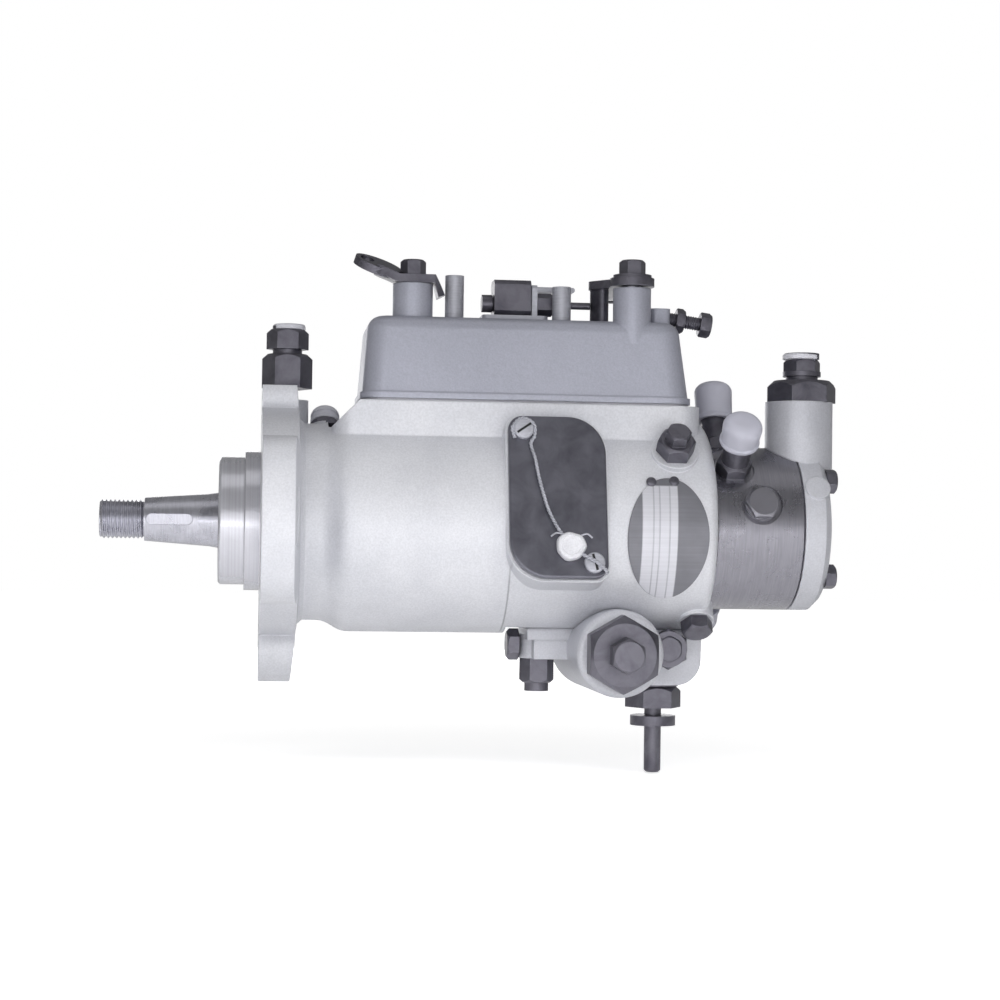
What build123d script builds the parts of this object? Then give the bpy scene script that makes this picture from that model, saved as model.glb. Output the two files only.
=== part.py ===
from build123d import *

import os
from math import cos, radians, sin, sqrt

# Rotary distributor diesel injection pump with a mechanical governor.
# Millimetres. X runs along the shaft towards the hydraulic head, -Y is the side
# with the inspection cover, +Z is up, and X = 0 is the flange's mounting face.

# Fits
RUN = 0.05                  # radial clearance of a piece that turns or slides in its bore
FREE = 0.3                  # gap between pieces that move past each other
SEAT = 0.04                 # gap under a curved piece that is fixed to a curved face

# Housing
SPIGOT_R = 23.0
SPIGOT_FRONT = -14.9
SPIGOT_BACK = -5.7
LEDGE_R = 25.0
FLANGE_T = 13.0
FLANGE_CORE_R = 41.0
BOLT_CIRCLE_R = 46.0
LOBE_HALF_W = 13.0
LOBE_HALF_ANGLE = 20.0
LOBE_ANGLES = (0.0, 120.0, 240.0)
SLOT_W = 9.0
SLOT_HALF_ANGLE = 8.0
FLANGE_TOP_Z = 49.0
NECK_R = 35.5
NECK_END = 20.0
BODY_START = 32.0
CAVITY_R = 32.0
BODY_WALL = 7.5
BODY_R = CAVITY_R + BODY_WALL
BODY_REAR_FILLET = 4.0
CAVITY_START = 20.0
NECK_CAVITY_R = 29.0
NECK_CAVITY_END = 32.0
SEAL_BORE_R = 17.0
SEAL_BORE_END = -4.0
BUSH_R = 16.0
UNION_X = 9.0
UNION_Y = 14.0
LEAK_X = 23.5
LEAK_ANGLE = 121.0
LEAK_SEAT_R = NECK_R + 4.3
UNION_HEX_H = 12.6
UNION_NECK_H = 14.4
FLAT_Z = 2.5 - BODY_R       # flat under the body that carries the advance unit

# Control cover
COVER_START = 34.8
COVER_LENGTH = 118.2
COVER_END = COVER_START + COVER_LENGTH
COVER_H = 29.6
COVER_LEFT_DRAFT = 2.2
COVER_RIGHT_DRAFT = 4.0
COVER_SIDE_DRAFT = 1.8
COVER_WALL = 4.5
COVER_LIP = 0.6
COVER_LIP_H = 2.2
COVER_TOP_FILLET = 5.0
COVER_CORNER_R = 8.0
GASKET_T = 0.8

# Platform under the control cover
PLATFORM_RISE = 3.6
PLATFORM_Z = BODY_R + PLATFORM_RISE
PLATFORM_FOOT_Z = 20.0
PLATFORM_FRONT = 24.5
PLATFORM_START = COVER_START - 0.8
PLATFORM_END = COVER_END + 4.0
PLATFORM_HALF_W = 25.0
PLATFORM_CORNER_R = 8.0
TOP_OPENING_START = COVER_START + 9.2
TOP_OPENING_END = COVER_END - 6.0
TOP_OPENING_HALF_W = 16.0
STUD_X = (68.0, 107.0)
STUD_Y = -12.0
STUD_R = 2.0
STUD_BOSS_R = 5.5
STUD_DEPTH = 12.0
NUT_HEIGHTS = (15.6, 12.6)
COVER_TOP = PLATFORM_Z + GASKET_T + COVER_H
BODY_END = PLATFORM_END + 3.5

# Stop control
STOP_X = 53.0
STOP_Y = -12.0
STOP_SHAFT_R = 3.5
STOP_BOSS_R = 7.2
STOP_BOSS_H = 12.1
STOP_LEVER_T = 3.0
STOP_PIN_ARM = 4.5
STOP_PIN_R = 1.5
STOP_PAD_LENGTH = 17.5
STOP_PAD_WIDTH = 10.0
STOP_PAD_REACH = 18.6
STOP_LEVER_RISE = 22.0      # slope of the arm that rises to the pad
STOP_PAD_TWIST = 27.0
STOP_HOLE_R = 2.6
STOP_TAIL_REACH = 9.4

# Throttle control
THROTTLE_X = COVER_END - 21.0
THROTTLE_Y = -17.0
THROTTLE_SHAFT_R = 3.8
THROTTLE_BOSS_R = 6.85
THROTTLE_BOSS_H = 12.5
CRANK_R = 15.6
CRANK_ANGLE = 130.0
CRANK_TAB = 4.4
CRANK_TAB_L = 7.6
CRANK_TAB_DROP = 11.5
LEVER_T = 3.0
LEVER_LENGTH = 46.0
LEVER_HOLE_R = 3.1
LIP_TO_THROTTLE = 19.0      # end of the idle bracket's lip before the throttle shaft
NUT_H = 5.5
THROTTLE_NUT_H = 6.6
WASHER_T = 1.2

# Governor
CAGE_START = 41.0
CAGE_PLATE_T = 3.0
CAGE_R = CAVITY_R - 2.5
CAGE_LENGTH = 25.0
CAGE_RIM_T = 3.0
WEIGHT_COUNT = 4
WEIGHT_W = 16.0
WEIGHT_PIVOT_R = CAGE_R - 5.5
WEIGHT_TOE_R = 12.0
SLEEVE_BORE_R = 6.6
SLEEVE_R = 9.0
SLEEVE_FLANGE_R = 13.0
SLEEVE_START = 48.3
SLEEVE_END = 78.0
SLEEVE_TRAVEL = 4.0
ARM_PIVOT_Z = PLATFORM_Z - 3.1
ARM_T = 2.0
ARM_TOP_Z = ARM_PIVOT_Z + 24.0
ARM_FOOT_Z = 1.0
PIVOT_PIN_R = 2.0
LINK_Y = 6.0
LINK_Z = ARM_PIVOT_Z + 18.0
LINK_R = 1.4
SPRING_Z = ARM_TOP_Z - 2.0
SPRING_Y = -5.0

# Drive shaft
THREAD_R = 7.0
THREAD_START = -57.0
THREAD_END = -41.6
TAPER_SMALL_R = 7.75
TAPER_R = 10.0
TAPER_START = -41.2
TAPER_END = -18.5
JOURNAL_R = 13.0
JOURNAL_START = -3.6
JOURNAL_END = 20.3
HUB_R = 11.0
QUILL_R = 6.0
KEY_W = 4.0
KEY_DEPTH = 2.6
KEYWAY_START = -40.5
KEYWAY_END = -24.0

# Pumping section
HEAD_SHOULDER = BODY_END
HEAD_START = HEAD_SHOULDER - 24.5
CAM_W = 18.0
CAM_END = HEAD_START - 2.0
CAM_START = CAM_END - CAM_W
ROTOR_START = CAM_START - 6.0
QUILL_END = ROTOR_START - 6.0
ROTOR_HEAD_R = 16.0
ROTOR_SPINDLE_R = 9.0
CAM_LOBES = 6
CAM_R = 22.5
CAM_LIFT = 1.8
PLUNGER_R = 3.2
ROLLER_R = 3.6
HEAD_OVERHANG = 33.5
HEAD_END = HEAD_SHOULDER + HEAD_OVERHANG
HEAD_R = CAVITY_R - 2.0
PUMP_RECESS_R = 19.0
PUMP_RECESS = 10.0
SEAL_X = HEAD_SHOULDER - 9.3
VALVE_X = HEAD_START + 5.0
VALVE_Y = -2.0
VALVE_R = 3.0
OUTLET_X = HEAD_SHOULDER + 8.5
SIDE_PLUG_X = OUTLET_X + 9.0
SIDE_PLUG_ANGLE = 16.5
OUTLET_ANGLES = (45.0, 105.0, 165.0, 225.0)
OUTLET_R = 5.7
OUTLET_REACH = HEAD_R + 11.0
CAP_R = 7.2
CAP_REACH = OUTLET_REACH + 11.0

# End plate
END_PLATE_T = 10.0
END_PLATE_R = HEAD_R
INLET_X = HEAD_END + 3.0
INLET_Y = -6.0
INLET_R = 12.4
INLET_TOP = 46.6
INLET_FOOT = 22.2
SLEEVE_VALVE_R = 4.4
VALVE_PISTON_R = 2.6
END_SCREW_CIRCLE_R = HEAD_R - 5.5

# Advance unit
ADV_X = CAM_START + CAM_W / 2 + 1.0
ADV_Z = FLAT_Z - 8.2
ADV_R = 15.5
ADV_BORE_R = 7.0
ADV_FRONT = -37.0
ADV_BACK = 30.0
ADV_GASKET_T = 0.5
CAP_AF = 24.0
CAP_T = 9.0
FITTING_X = HEAD_START + 8.7
LUG_START = ADV_X - 27.4
LUG_STUD_X = LUG_START + 2.7
LUG_END = BODY_END - 1.0
LUG_FOOT = FLAT_Z - 20.5
FRONT_LUG_FOOT = FLAT_Z - 11.5
LUG_CORNER_R = 9.5
BALL_R = 3.2
PISTON_FRONT = -16.0
PISTON_BACK = 25.4
SPRING_POCKET = 7.0
PLUG_SPIGOT = 4.0

# Inspection cover, plate and screws on the body
COVER_TILT = 13.0
INSPECT_X = BODY_END - 58.0
INSPECT_W = 34.3
INSPECT_L = 58.0
INSPECT_REACH = BODY_R + 0.2
INSPECT_T = 2.4
INSPECT_GASKET_T = 0.7
INSPECT_BIG_R = 13.5
INSPECT_SMALL_R = 5.0
PLATE_X = BODY_END - 18.5
PLATE_Z = -4.4
PLATE_W = 29.0
PLATE_H = 42.4
PLATE_T = 0.8
BLEED_X = HEAD_START + 9.6
BLEED_ANGLE = 41.0
LOCK_X = BODY_END - 4.5
LOCK_ANGLE = -58.0

WHOLE = 400.0               # longer than any piece, for cuts that pass right through


def facing(x, angle, reach):
    """Plane that looks away from the shaft axis, angle degrees above the near side."""
    out = Vector(0, -cos(radians(angle)), sin(radians(angle)))
    return Plane(origin=Vector(x, 0, 0) + out * reach, x_dir=(1, 0, 0), z_dir=out)


def looking(x, y, z, z_dir, x_dir=None):
    """Plane at a point with the given normal."""
    return Plane(origin=(x, y, z), x_dir=x_dir, z_dir=z_dir)


def turned(points, plane=Plane.XZ, axis=Axis.X):
    """Solid of revolution about the shaft axis from its outline of (x, radius) points."""
    with BuildPart() as piece:
        with BuildSketch(plane):
            with BuildLine():
                Polyline(*points, close=True)
            make_face()
        revolve(axis=axis)
    return piece.part


def hexagon(across_flats, height, bore_r=0.0, chamfered=True):
    """Hexagon prism that stands on its plane, with its outer corners turned off."""
    with BuildPart() as piece:
        with BuildSketch():
            RegularPolygon(across_flats / 2, 6, major_radius=False)
        extrude(amount=height)
        if chamfered:
            with BuildSketch(Plane.XZ):
                corner = across_flats / sqrt(3)
                with BuildLine():
                    Polyline(
                        (0, 0),
                        (corner + 0.2, 0),
                        (corner + 0.2, height - 0.12 * across_flats),
                        (across_flats * 0.46, height),
                        (0, height),
                        close=True,
                    )
                make_face()
            revolve(axis=Axis.Z, mode=Mode.INTERSECT)
        if bore_r:
            Cylinder(bore_r, WHOLE, mode=Mode.SUBTRACT)
    return piece.part


def hex_screw(across_flats, head_h, shank_r, shank_length):
    """Screw whose head stands on its plane and whose shank goes down from it."""
    with BuildPart() as piece:
        add(hexagon(across_flats, head_h))
        Cylinder(shank_r, shank_length, align=(Align.CENTER, Align.CENTER, Align.MAX))
    return piece.part


def ring(outer_r, inner_r, height):
    """Plain ring that stands on its plane."""
    with BuildPart() as piece:
        with BuildSketch():
            Circle(outer_r)
            Circle(inner_r, mode=Mode.SUBTRACT)
        extrude(amount=height)
    return piece.part


def coil(mean_r, wire_r, pitch, length):
    """Open helical spring along +Z from its plane."""
    with BuildPart() as piece:
        with BuildLine():
            path = Helix(pitch=pitch, height=length, radius=mean_r)
        with BuildSketch(Plane(origin=path @ 0, z_dir=path % 0)):
            Circle(wire_r)
        sweep(path=path)
    return piece.part


def capsule_cap(radius, height):
    """Moulded dust cap with a domed end and an open skirt."""
    with BuildPart() as piece:
        Cylinder(radius, height, align=(Align.CENTER, Align.CENTER, Align.MIN))
        fillet(piece.edges().filter_by(GeomType.CIRCLE).sort_by(Axis.Z)[-1], radius * 0.55)
        Cylinder(
            radius - 1.4,
            height * 0.45,
            align=(Align.CENTER, Align.CENTER, Align.MIN),
            mode=Mode.SUBTRACT,
        )
    return piece.part


finished = []


def finish(piece, name):
    """Label a finished sub-part and keep it for the export."""
    piece.label = name
    finished.append(piece)


# Housing: a round casting with a three-lobed flange, a platform on top for the
# control cover, a raised frame for the inspection cover and a flat underneath.
inspect_plane = facing(INSPECT_X, COVER_TILT, INSPECT_REACH)


def inspection_outline(width, length, big_r, small_r):
    """Rounded outline with two large and two small corners."""
    half_w = width / 2
    half_l = length / 2
    with BuildSketch() as outline:
        with BuildLine():
            FilletPolyline(
                (half_w, half_l),
                (-half_w, half_l),
                (-half_w, -half_l),
                (half_w, -half_l),
                radius=(big_r, small_r, big_r, small_r),
                close=True,
            )
        make_face()
    return outline.sketch


cover_shape = inspection_outline(INSPECT_W, INSPECT_L, INSPECT_BIG_R, INSPECT_SMALL_R)
window_shape = inspection_outline(20.0, 38.0, 7.0, 2.5)
slope_foot_z = PLATFORM_Z - (PLATFORM_START - PLATFORM_FRONT)
screw_offset = (-INSPECT_W / 2 + 5.2, INSPECT_L / 2 - 5.2)
inspect_screws = (screw_offset, (-screw_offset[0], -screw_offset[1]))

with BuildPart() as pump_housing:
    with BuildSketch(Plane.XZ):
        with BuildLine():
            Polyline(
                (SPIGOT_FRONT, 0),
                (SPIGOT_FRONT, SPIGOT_R - 0.8),
                (SPIGOT_FRONT + 0.8, SPIGOT_R),
                (SPIGOT_BACK, SPIGOT_R),
                (SPIGOT_BACK, LEDGE_R),
                (0, LEDGE_R),
                (0, FLANGE_CORE_R),
                (FLANGE_T, FLANGE_CORE_R),
                (FLANGE_T + 0.6, NECK_R + 1.6),
                (FLANGE_T + 2.4, NECK_R),
                (NECK_END, NECK_R),
            )
            Spline(
                (NECK_END, NECK_R),
                (BODY_START, BODY_R),
                tangents=((1, 0), (1, 0)),
            )
            Line((BODY_START, BODY_R), (BODY_END - BODY_REAR_FILLET, BODY_R))
            RadiusArc(
                (BODY_END - BODY_REAR_FILLET, BODY_R),
                (BODY_END, BODY_R - BODY_REAR_FILLET),
                BODY_REAR_FILLET,
            )
            Polyline((BODY_END, BODY_R - BODY_REAR_FILLET), (BODY_END, 0), (SPIGOT_FRONT, 0))
        make_face()
    revolve(axis=Axis.X)

    # Three lobes of the flange, flat on top for the oil union
    with BuildSketch(Plane.YZ) as lobes:
        for lobe in LOBE_ANGLES:
            middle = 180.0 - lobe
            with BuildLine(mode=Mode.PRIVATE):
                arc = CenterArc(
                    (0, 0), BOLT_CIRCLE_R, middle - LOBE_HALF_ANGLE, 2 * LOBE_HALF_ANGLE
                )
            SlotArc(arc, 2 * LOBE_HALF_W)
    extrude(amount=FLANGE_T)
    with BuildSketch(Plane.XY.offset(FLANGE_TOP_Z)):
        with Locations((0, 0)):
            Rectangle(60, 130)
    extrude(amount=20, mode=Mode.SUBTRACT)
    with BuildSketch(Plane.XZ):
        with BuildLine():
            Polyline((FLANGE_T, FLANGE_CORE_R + 2), (FLANGE_T - 2, 62), (FLANGE_T, 62), close=True)
        make_face()
    revolve(axis=Axis.X, mode=Mode.SUBTRACT)

    # Boss behind the flange for the oil union
    with BuildSketch(Plane.XY.offset(NECK_R - 8)):
        with Locations((UNION_X, UNION_Y)):
            Circle(8.0)
    extrude(amount=17.2)

    # Boss of the leak-off union on the neck
    with BuildSketch(facing(LEAK_X, LEAK_ANGLE, NECK_R - 4)):
        Circle(6.8)
    extrude(amount=LEAK_SEAT_R - NECK_R + 4)

    # Platform for the control cover, sloped at its front end, with room for the union
    with BuildSketch(Plane.XY.offset(PLATFORM_FOOT_Z)):
        with Locations(((PLATFORM_FRONT + PLATFORM_END) / 2, 0)):
            RectangleRounded(
                PLATFORM_END - PLATFORM_FRONT, 2 * PLATFORM_HALF_W, PLATFORM_CORNER_R
            )
    extrude(amount=PLATFORM_Z - PLATFORM_FOOT_Z)
    with BuildSketch(Plane.XZ):
        with BuildLine():
            Polyline(
                (PLATFORM_FRONT - 1, slope_foot_z),
                (PLATFORM_FRONT, slope_foot_z),
                (PLATFORM_START, PLATFORM_Z),
                (PLATFORM_START, PLATFORM_Z + 1),
                (PLATFORM_FRONT - 1, PLATFORM_Z + 1),
                close=True,
            )
        make_face()
    extrude(amount=PLATFORM_HALF_W + 1, both=True, mode=Mode.SUBTRACT)
    with BuildSketch(facing(LEAK_X, LEAK_ANGLE, LEAK_SEAT_R)):
        Circle(8.0)
    extrude(amount=12, mode=Mode.SUBTRACT)

    # Raised frame for the inspection cover
    with BuildSketch(inspect_plane):
        add(inspection_outline(INSPECT_W + 1.6, INSPECT_L + 1.6, INSPECT_BIG_R, INSPECT_SMALL_R))
    extrude(amount=-16.0)

    # Bosses of the bleed screw, the locking screw and the flat underneath
    with BuildSketch(facing(BLEED_X, BLEED_ANGLE, BODY_R - 4)):
        Circle(8.5)
    extrude(amount=5.2)
    with BuildSketch(facing(LOCK_X, LOCK_ANGLE, BODY_R - 6)):
        Circle(6.5)
    extrude(amount=6.8)
    with BuildSketch(Plane.XY.offset(FLAT_Z)):
        with Locations(((LUG_START - 10 + BODY_END) / 2, 0)):
            Rectangle(BODY_END - LUG_START + 11, 60)
    extrude(amount=-8, mode=Mode.SUBTRACT)

    # Bores: oil seals, bush, neck and main cavity
    add(
        turned(
            [
                (SPIGOT_FRONT - 1, 0),
                (SPIGOT_FRONT - 1, SEAL_BORE_R),
                (SEAL_BORE_END, SEAL_BORE_R),
                (SEAL_BORE_END, BUSH_R),
                (CAVITY_START, BUSH_R),
                (CAVITY_START, NECK_CAVITY_R),
                (NECK_CAVITY_END, NECK_CAVITY_R),
                (NECK_CAVITY_END + 2, CAVITY_R),
                (BODY_END + 1, CAVITY_R),
                (BODY_END + 1, 0),
            ]
        ),
        mode=Mode.SUBTRACT,
    )

    # Top opening with the two stud bosses left in it
    with BuildSketch(Plane.XY.offset(20)):
        with Locations(((TOP_OPENING_START + TOP_OPENING_END) / 2, 0)):
            RectangleRounded(
                TOP_OPENING_END - TOP_OPENING_START, 2 * TOP_OPENING_HALF_W, 8.0
            )
        with Locations(*[(x, STUD_Y - 2) for x in STUD_X]):
            Rectangle(2 * STUD_BOSS_R, 2 * STUD_BOSS_R + 4, mode=Mode.SUBTRACT)
        with Locations(*[(x, STUD_Y) for x in STUD_X]):
            Circle(STUD_BOSS_R, mode=Mode.SUBTRACT)
    extrude(amount=30, mode=Mode.SUBTRACT)
    with Locations(*[(x, STUD_Y, PLATFORM_Z - STUD_DEPTH / 2) for x in STUD_X]):
        Cylinder(STUD_R, STUD_DEPTH, mode=Mode.SUBTRACT)

    # Inspection window and its screw holes
    with BuildSketch(inspect_plane):
        add(window_shape)
    extrude(amount=-20, mode=Mode.SUBTRACT)
    with Locations(inspect_plane):
        with Locations(*[(x, y, 0) for x, y in inspect_screws]):
            Cylinder(2.0, 12, mode=Mode.SUBTRACT)

    # Timing slots of the flange
    with BuildSketch(Plane.YZ):
        for lobe in LOBE_ANGLES:
            middle = 180.0 - lobe
            with BuildLine(mode=Mode.PRIVATE):
                arc = CenterArc(
                    (0, 0), BOLT_CIRCLE_R, middle - SLOT_HALF_ANGLE, 2 * SLOT_HALF_ANGLE
                )
            SlotArc(arc, SLOT_W)
    extrude(amount=FLANGE_T, mode=Mode.SUBTRACT)

    # Drillings: oil union, leak-off, bleed screw, locking screw, cam screw,
    # locating fitting and the stud of the advance unit
    with Locations((UNION_X, UNION_Y, FLANGE_TOP_Z)):
        Cylinder(4.0, 34, mode=Mode.SUBTRACT)
    with Locations(facing(LEAK_X, LEAK_ANGLE, NECK_R)):
        Cylinder(3.5, 16, mode=Mode.SUBTRACT)
    with Locations(facing(BLEED_X, BLEED_ANGLE, BODY_R)):
        Cylinder(3.5, 22, mode=Mode.SUBTRACT)
    with Locations(facing(LOCK_X, LOCK_ANGLE, BODY_R)):
        Cylinder(3.0, 22, mode=Mode.SUBTRACT)
    with BuildSketch(Plane.XY.offset(FLAT_Z)):
        with Locations((ADV_X, 0)):
            SlotOverall(18.0, 11.0, rotation=90)
        with Locations((FITTING_X, 0)):
            Circle(6.2)
        with Locations((LUG_STUD_X, 0)):
            Circle(3.0)
    extrude(amount=12, mode=Mode.SUBTRACT)
finish(pump_housing.part, "pump_housing")

# Shaft seals in the front of the housing and the sealing ring of the head
with BuildPart() as oil_seals:
    with Locations(
        looking(SPIGOT_FRONT + 0.6, 0, 0, (1, 0, 0)),
        looking(SPIGOT_FRONT + 5.8, 0, 0, (1, 0, 0)),
    ):
        add(ring(SEAL_BORE_R - SEAT, TAPER_R + RUN, 4.8))
    with BuildSketch(Plane.XZ):
        with Locations((SEAL_X, CAVITY_R - 1.18)):
            Circle(1.1)
    revolve(axis=Axis.X)
finish(oil_seals.part, "oil_seals")

with BuildPart() as shaft_bush:
    with Locations(looking(SEAL_BORE_END, 0, 0, (1, 0, 0))):
        add(ring(BUSH_R - SEAT, JOURNAL_R + RUN, CAVITY_START - SEAL_BORE_END))
finish(shaft_bush.part, "shaft_bush")

# Drive shaft: threaded nose, taper with a keyway, journal, hub and quill
with BuildPart() as drive_shaft:
    add(
        turned(
            [
                (THREAD_START, 0),
                (THREAD_START, THREAD_R - 1),
                (THREAD_START + 1, THREAD_R),
                (THREAD_END - 0.8, THREAD_R),
                (THREAD_END, THREAD_R - 0.9),
                (TAPER_START, THREAD_R - 0.9),
                (TAPER_START, TAPER_SMALL_R),
                (TAPER_END, TAPER_R - 0.6),
                (SPIGOT_FRONT, TAPER_R),
                (JOURNAL_START, TAPER_R),
                (JOURNAL_START, JOURNAL_R),
                (JOURNAL_END, JOURNAL_R),
                (JOURNAL_END, JOURNAL_R + 5),
                (JOURNAL_END + 2, JOURNAL_R + 5),
                (JOURNAL_END + 2, HUB_R),
                (CAGE_START + CAGE_PLATE_T, HUB_R),
                (CAGE_START + CAGE_PLATE_T, QUILL_R),
                (QUILL_END, QUILL_R),
                (QUILL_END, 0),
            ]
        )
    )
    with BuildSketch(Plane.XZ.offset(TAPER_R - KEY_DEPTH)):
        with Locations(((KEYWAY_START + KEYWAY_END) / 2, 0)):
            SlotOverall(KEYWAY_END - KEYWAY_START, KEY_W)
    extrude(amount=KEY_DEPTH + 1, mode=Mode.SUBTRACT)
    # Flats of the quill that drive the rotor
    with BuildSketch(Plane.YZ.offset(QUILL_END - 8)):
        Rectangle(30, 30)
        Rectangle(30, 2 * QUILL_R - 3.0, mode=Mode.SUBTRACT)
    extrude(amount=9, mode=Mode.SUBTRACT)
finish(drive_shaft.part, "drive_shaft")

# Governor cage: a back plate, four posts between the weights and a front ring
cage_front = CAGE_START + CAGE_LENGTH
with BuildPart() as governor_cage:
    with BuildSketch(Plane.YZ.offset(CAGE_START)):
        Circle(CAGE_R)
        Circle(HUB_R + SEAT, mode=Mode.SUBTRACT)
    extrude(amount=CAGE_PLATE_T)
    with BuildSketch(Plane.YZ.offset(CAGE_START)):
        Circle(CAGE_R)
        Circle(CAGE_R - CAGE_RIM_T, mode=Mode.SUBTRACT)
    extrude(amount=CAGE_LENGTH)
    with BuildSketch(Plane.YZ.offset(CAGE_START + CAGE_PLATE_T)):
        with PolarLocations(0, WEIGHT_COUNT):
            with Locations((CAGE_R, 0)):
                Rectangle(2 * CAGE_RIM_T + 12, WEIGHT_W + 2)
    extrude(amount=CAGE_LENGTH - CAGE_PLATE_T - 3.0, mode=Mode.SUBTRACT)
finish(governor_cage.part, "governor_cage")

# Flyweights: one solid turned round the shaft to its four pockets
pivot_x = CAGE_START + CAGE_PLATE_T + 1.5
with BuildPart() as weight_shape:
    with BuildSketch(Plane.XZ.offset(-WEIGHT_W / 2)):
        with BuildLine():
            Polyline(
                (pivot_x - 1.1, WEIGHT_TOE_R),
                (pivot_x - 1.1, WEIGHT_PIVOT_R + 1),
                (pivot_x + 13.5, WEIGHT_PIVOT_R + 1),
                (pivot_x + 13.5, WEIGHT_PIVOT_R - 8.6),
                (SLEEVE_START - FREE, WEIGHT_PIVOT_R - 8.6),
                (SLEEVE_START - FREE, WEIGHT_TOE_R),
                close=True,
            )
        make_face()
    extrude(amount=WEIGHT_W)
    fillet(weight_shape.edges().filter_by(Axis.Y).sort_by(Axis.X)[-2:], 1.5)
    with BuildSketch(Plane.XY.offset(WEIGHT_TOE_R - 1)):
        with Locations((pivot_x, WEIGHT_W / 2), (pivot_x, -WEIGHT_W / 2)):
            Rectangle(12, 9)
    extrude(amount=4.6, mode=Mode.SUBTRACT)

for number in range(WEIGHT_COUNT):
    turn = 360.0 / WEIGHT_COUNT * number
    with BuildPart() as flyweight:
        add(weight_shape.part.rotate(Axis.X, turn))
    finish(flyweight.part, f"flyweight_{number + 1}")

# Thrust sleeve that the weights push along the quill
with BuildPart() as thrust_sleeve:
    add(
        turned(
            [
                (SLEEVE_START, SLEEVE_BORE_R),
                (SLEEVE_START, SLEEVE_FLANGE_R + 0.5),
                (SLEEVE_START + 2.4, SLEEVE_FLANGE_R + 0.5),
                (SLEEVE_START + 2.4, SLEEVE_R),
                (SLEEVE_END - 2.4, SLEEVE_R),
                (SLEEVE_END - 2.4, SLEEVE_FLANGE_R),
                (SLEEVE_END, SLEEVE_FLANGE_R),
                (SLEEVE_END, QUILL_R + RUN),
                (SLEEVE_END - 6, QUILL_R + RUN),
                (SLEEVE_END - 7, SLEEVE_BORE_R),
            ]
        )
    )
finish(thrust_sleeve.part, "thrust_sleeve")

# Governor arm: a forked plate with a rolled eye on its pivot
arm_x = SLEEVE_END + FREE
eye_x = arm_x + ARM_T / 2
with BuildPart() as governor_arm:
    with BuildSketch(Plane.YZ.offset(arm_x)):
        with BuildLine():
            Polyline(
                (-12, ARM_FOOT_Z),
                (-12, 24),
                (-9, 34),
                (-9, ARM_PIVOT_Z),
                (-3.5, ARM_PIVOT_Z + 6),
                (-3.5, ARM_PIVOT_Z + 13),
                (SPRING_Y - 3, ARM_PIVOT_Z + 15),
                (SPRING_Y - 3, ARM_TOP_Z),
                (9, ARM_TOP_Z),
                (9, 34),
                (12, 24),
                (12, ARM_FOOT_Z),
                close=True,
            )
        make_face()
        with Locations((0, 0)):
            SlotOverall(44, 2 * QUILL_R + 3.0, rotation=90, mode=Mode.SUBTRACT)
        with Locations((LINK_Y, LINK_Z)):
            Circle(LINK_R + 0.6, mode=Mode.SUBTRACT)
        with Locations((SPRING_Y, SPRING_Z - 2.6)):
            Circle(0.9, mode=Mode.SUBTRACT)
    extrude(amount=ARM_T)
    with Locations(looking(eye_x, 9, ARM_PIVOT_Z, (0, -1, 0))):
        Cylinder(4.0, 18, align=(Align.CENTER, Align.CENTER, Align.MIN))
        Cylinder(PIVOT_PIN_R + RUN, WHOLE, mode=Mode.SUBTRACT)
finish(governor_arm.part, "governor_arm")

# Control bracket: folded sheet that bridges the top opening, with two ears and the arm's pin
sheet_t = 1.6
ear_y = 11.0
with BuildPart() as control_bracket:
    with BuildSketch(Plane.XY.offset(PLATFORM_Z)):
        with Locations(((STUD_X[0] + STUD_X[1]) / 2, 0)):
            RectangleRounded(STUD_X[1] - STUD_X[0] + 11, 40, 3)
            Rectangle(STUD_X[1] - STUD_X[0] - 11, 2 * ear_y + 2, mode=Mode.SUBTRACT)
        with Locations(*[(x, STUD_Y) for x in STUD_X]):
            Circle(STUD_R + 0.2, mode=Mode.SUBTRACT)
    extrude(amount=sheet_t)
    for side in (-1, 1):
        with BuildSketch(Plane.XZ.offset(-side * (ear_y + 1) - (sheet_t if side > 0 else 0))):
            with BuildLine():
                Polyline(
                    (eye_x - 6, PLATFORM_Z + sheet_t),
                    (eye_x - 4, ARM_PIVOT_Z - 4),
                    (eye_x + 4, ARM_PIVOT_Z - 4),
                    (eye_x + 6, PLATFORM_Z + sheet_t),
                    close=True,
                )
            make_face()
            with Locations((eye_x, ARM_PIVOT_Z)):
                Circle(PIVOT_PIN_R, mode=Mode.SUBTRACT)
        extrude(amount=sheet_t)
    with Locations(looking(eye_x, ear_y + 3.6, ARM_PIVOT_Z, (0, -1, 0))):
        Cylinder(PIVOT_PIN_R, 2 * ear_y + 7.2, align=(Align.CENTER, Align.CENTER, Align.MIN))
finish(control_bracket.part, "control_bracket")

# Linkage hook from the governor arm to the metering valve
valve_foot = 14.0
valve_lever_z = PLATFORM_Z + 2.9
with BuildPart() as link_hook:
    with BuildLine():
        hook_path = FilletPolyline(
            (arm_x - 3.2, LINK_Y, LINK_Z),
            (VALVE_X, LINK_Y, LINK_Z),
            (VALVE_X, LINK_Y, valve_lever_z - 1),
            radius=3.0,
        )
    with BuildSketch(Plane(origin=hook_path @ 0, z_dir=hook_path % 0)):
        Circle(LINK_R)
    sweep(path=hook_path)
    with Locations(
        looking(arm_x - 2.2, LINK_Y, LINK_Z, (1, 0, 0)),
        looking(arm_x + ARM_T + 0.6, LINK_Y, LINK_Z, (1, 0, 0)),
    ):
        Cylinder(LINK_R + 1.4, 1.6, align=(Align.CENTER, Align.CENTER, Align.MIN))
finish(link_hook.part, "link_hook")

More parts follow.
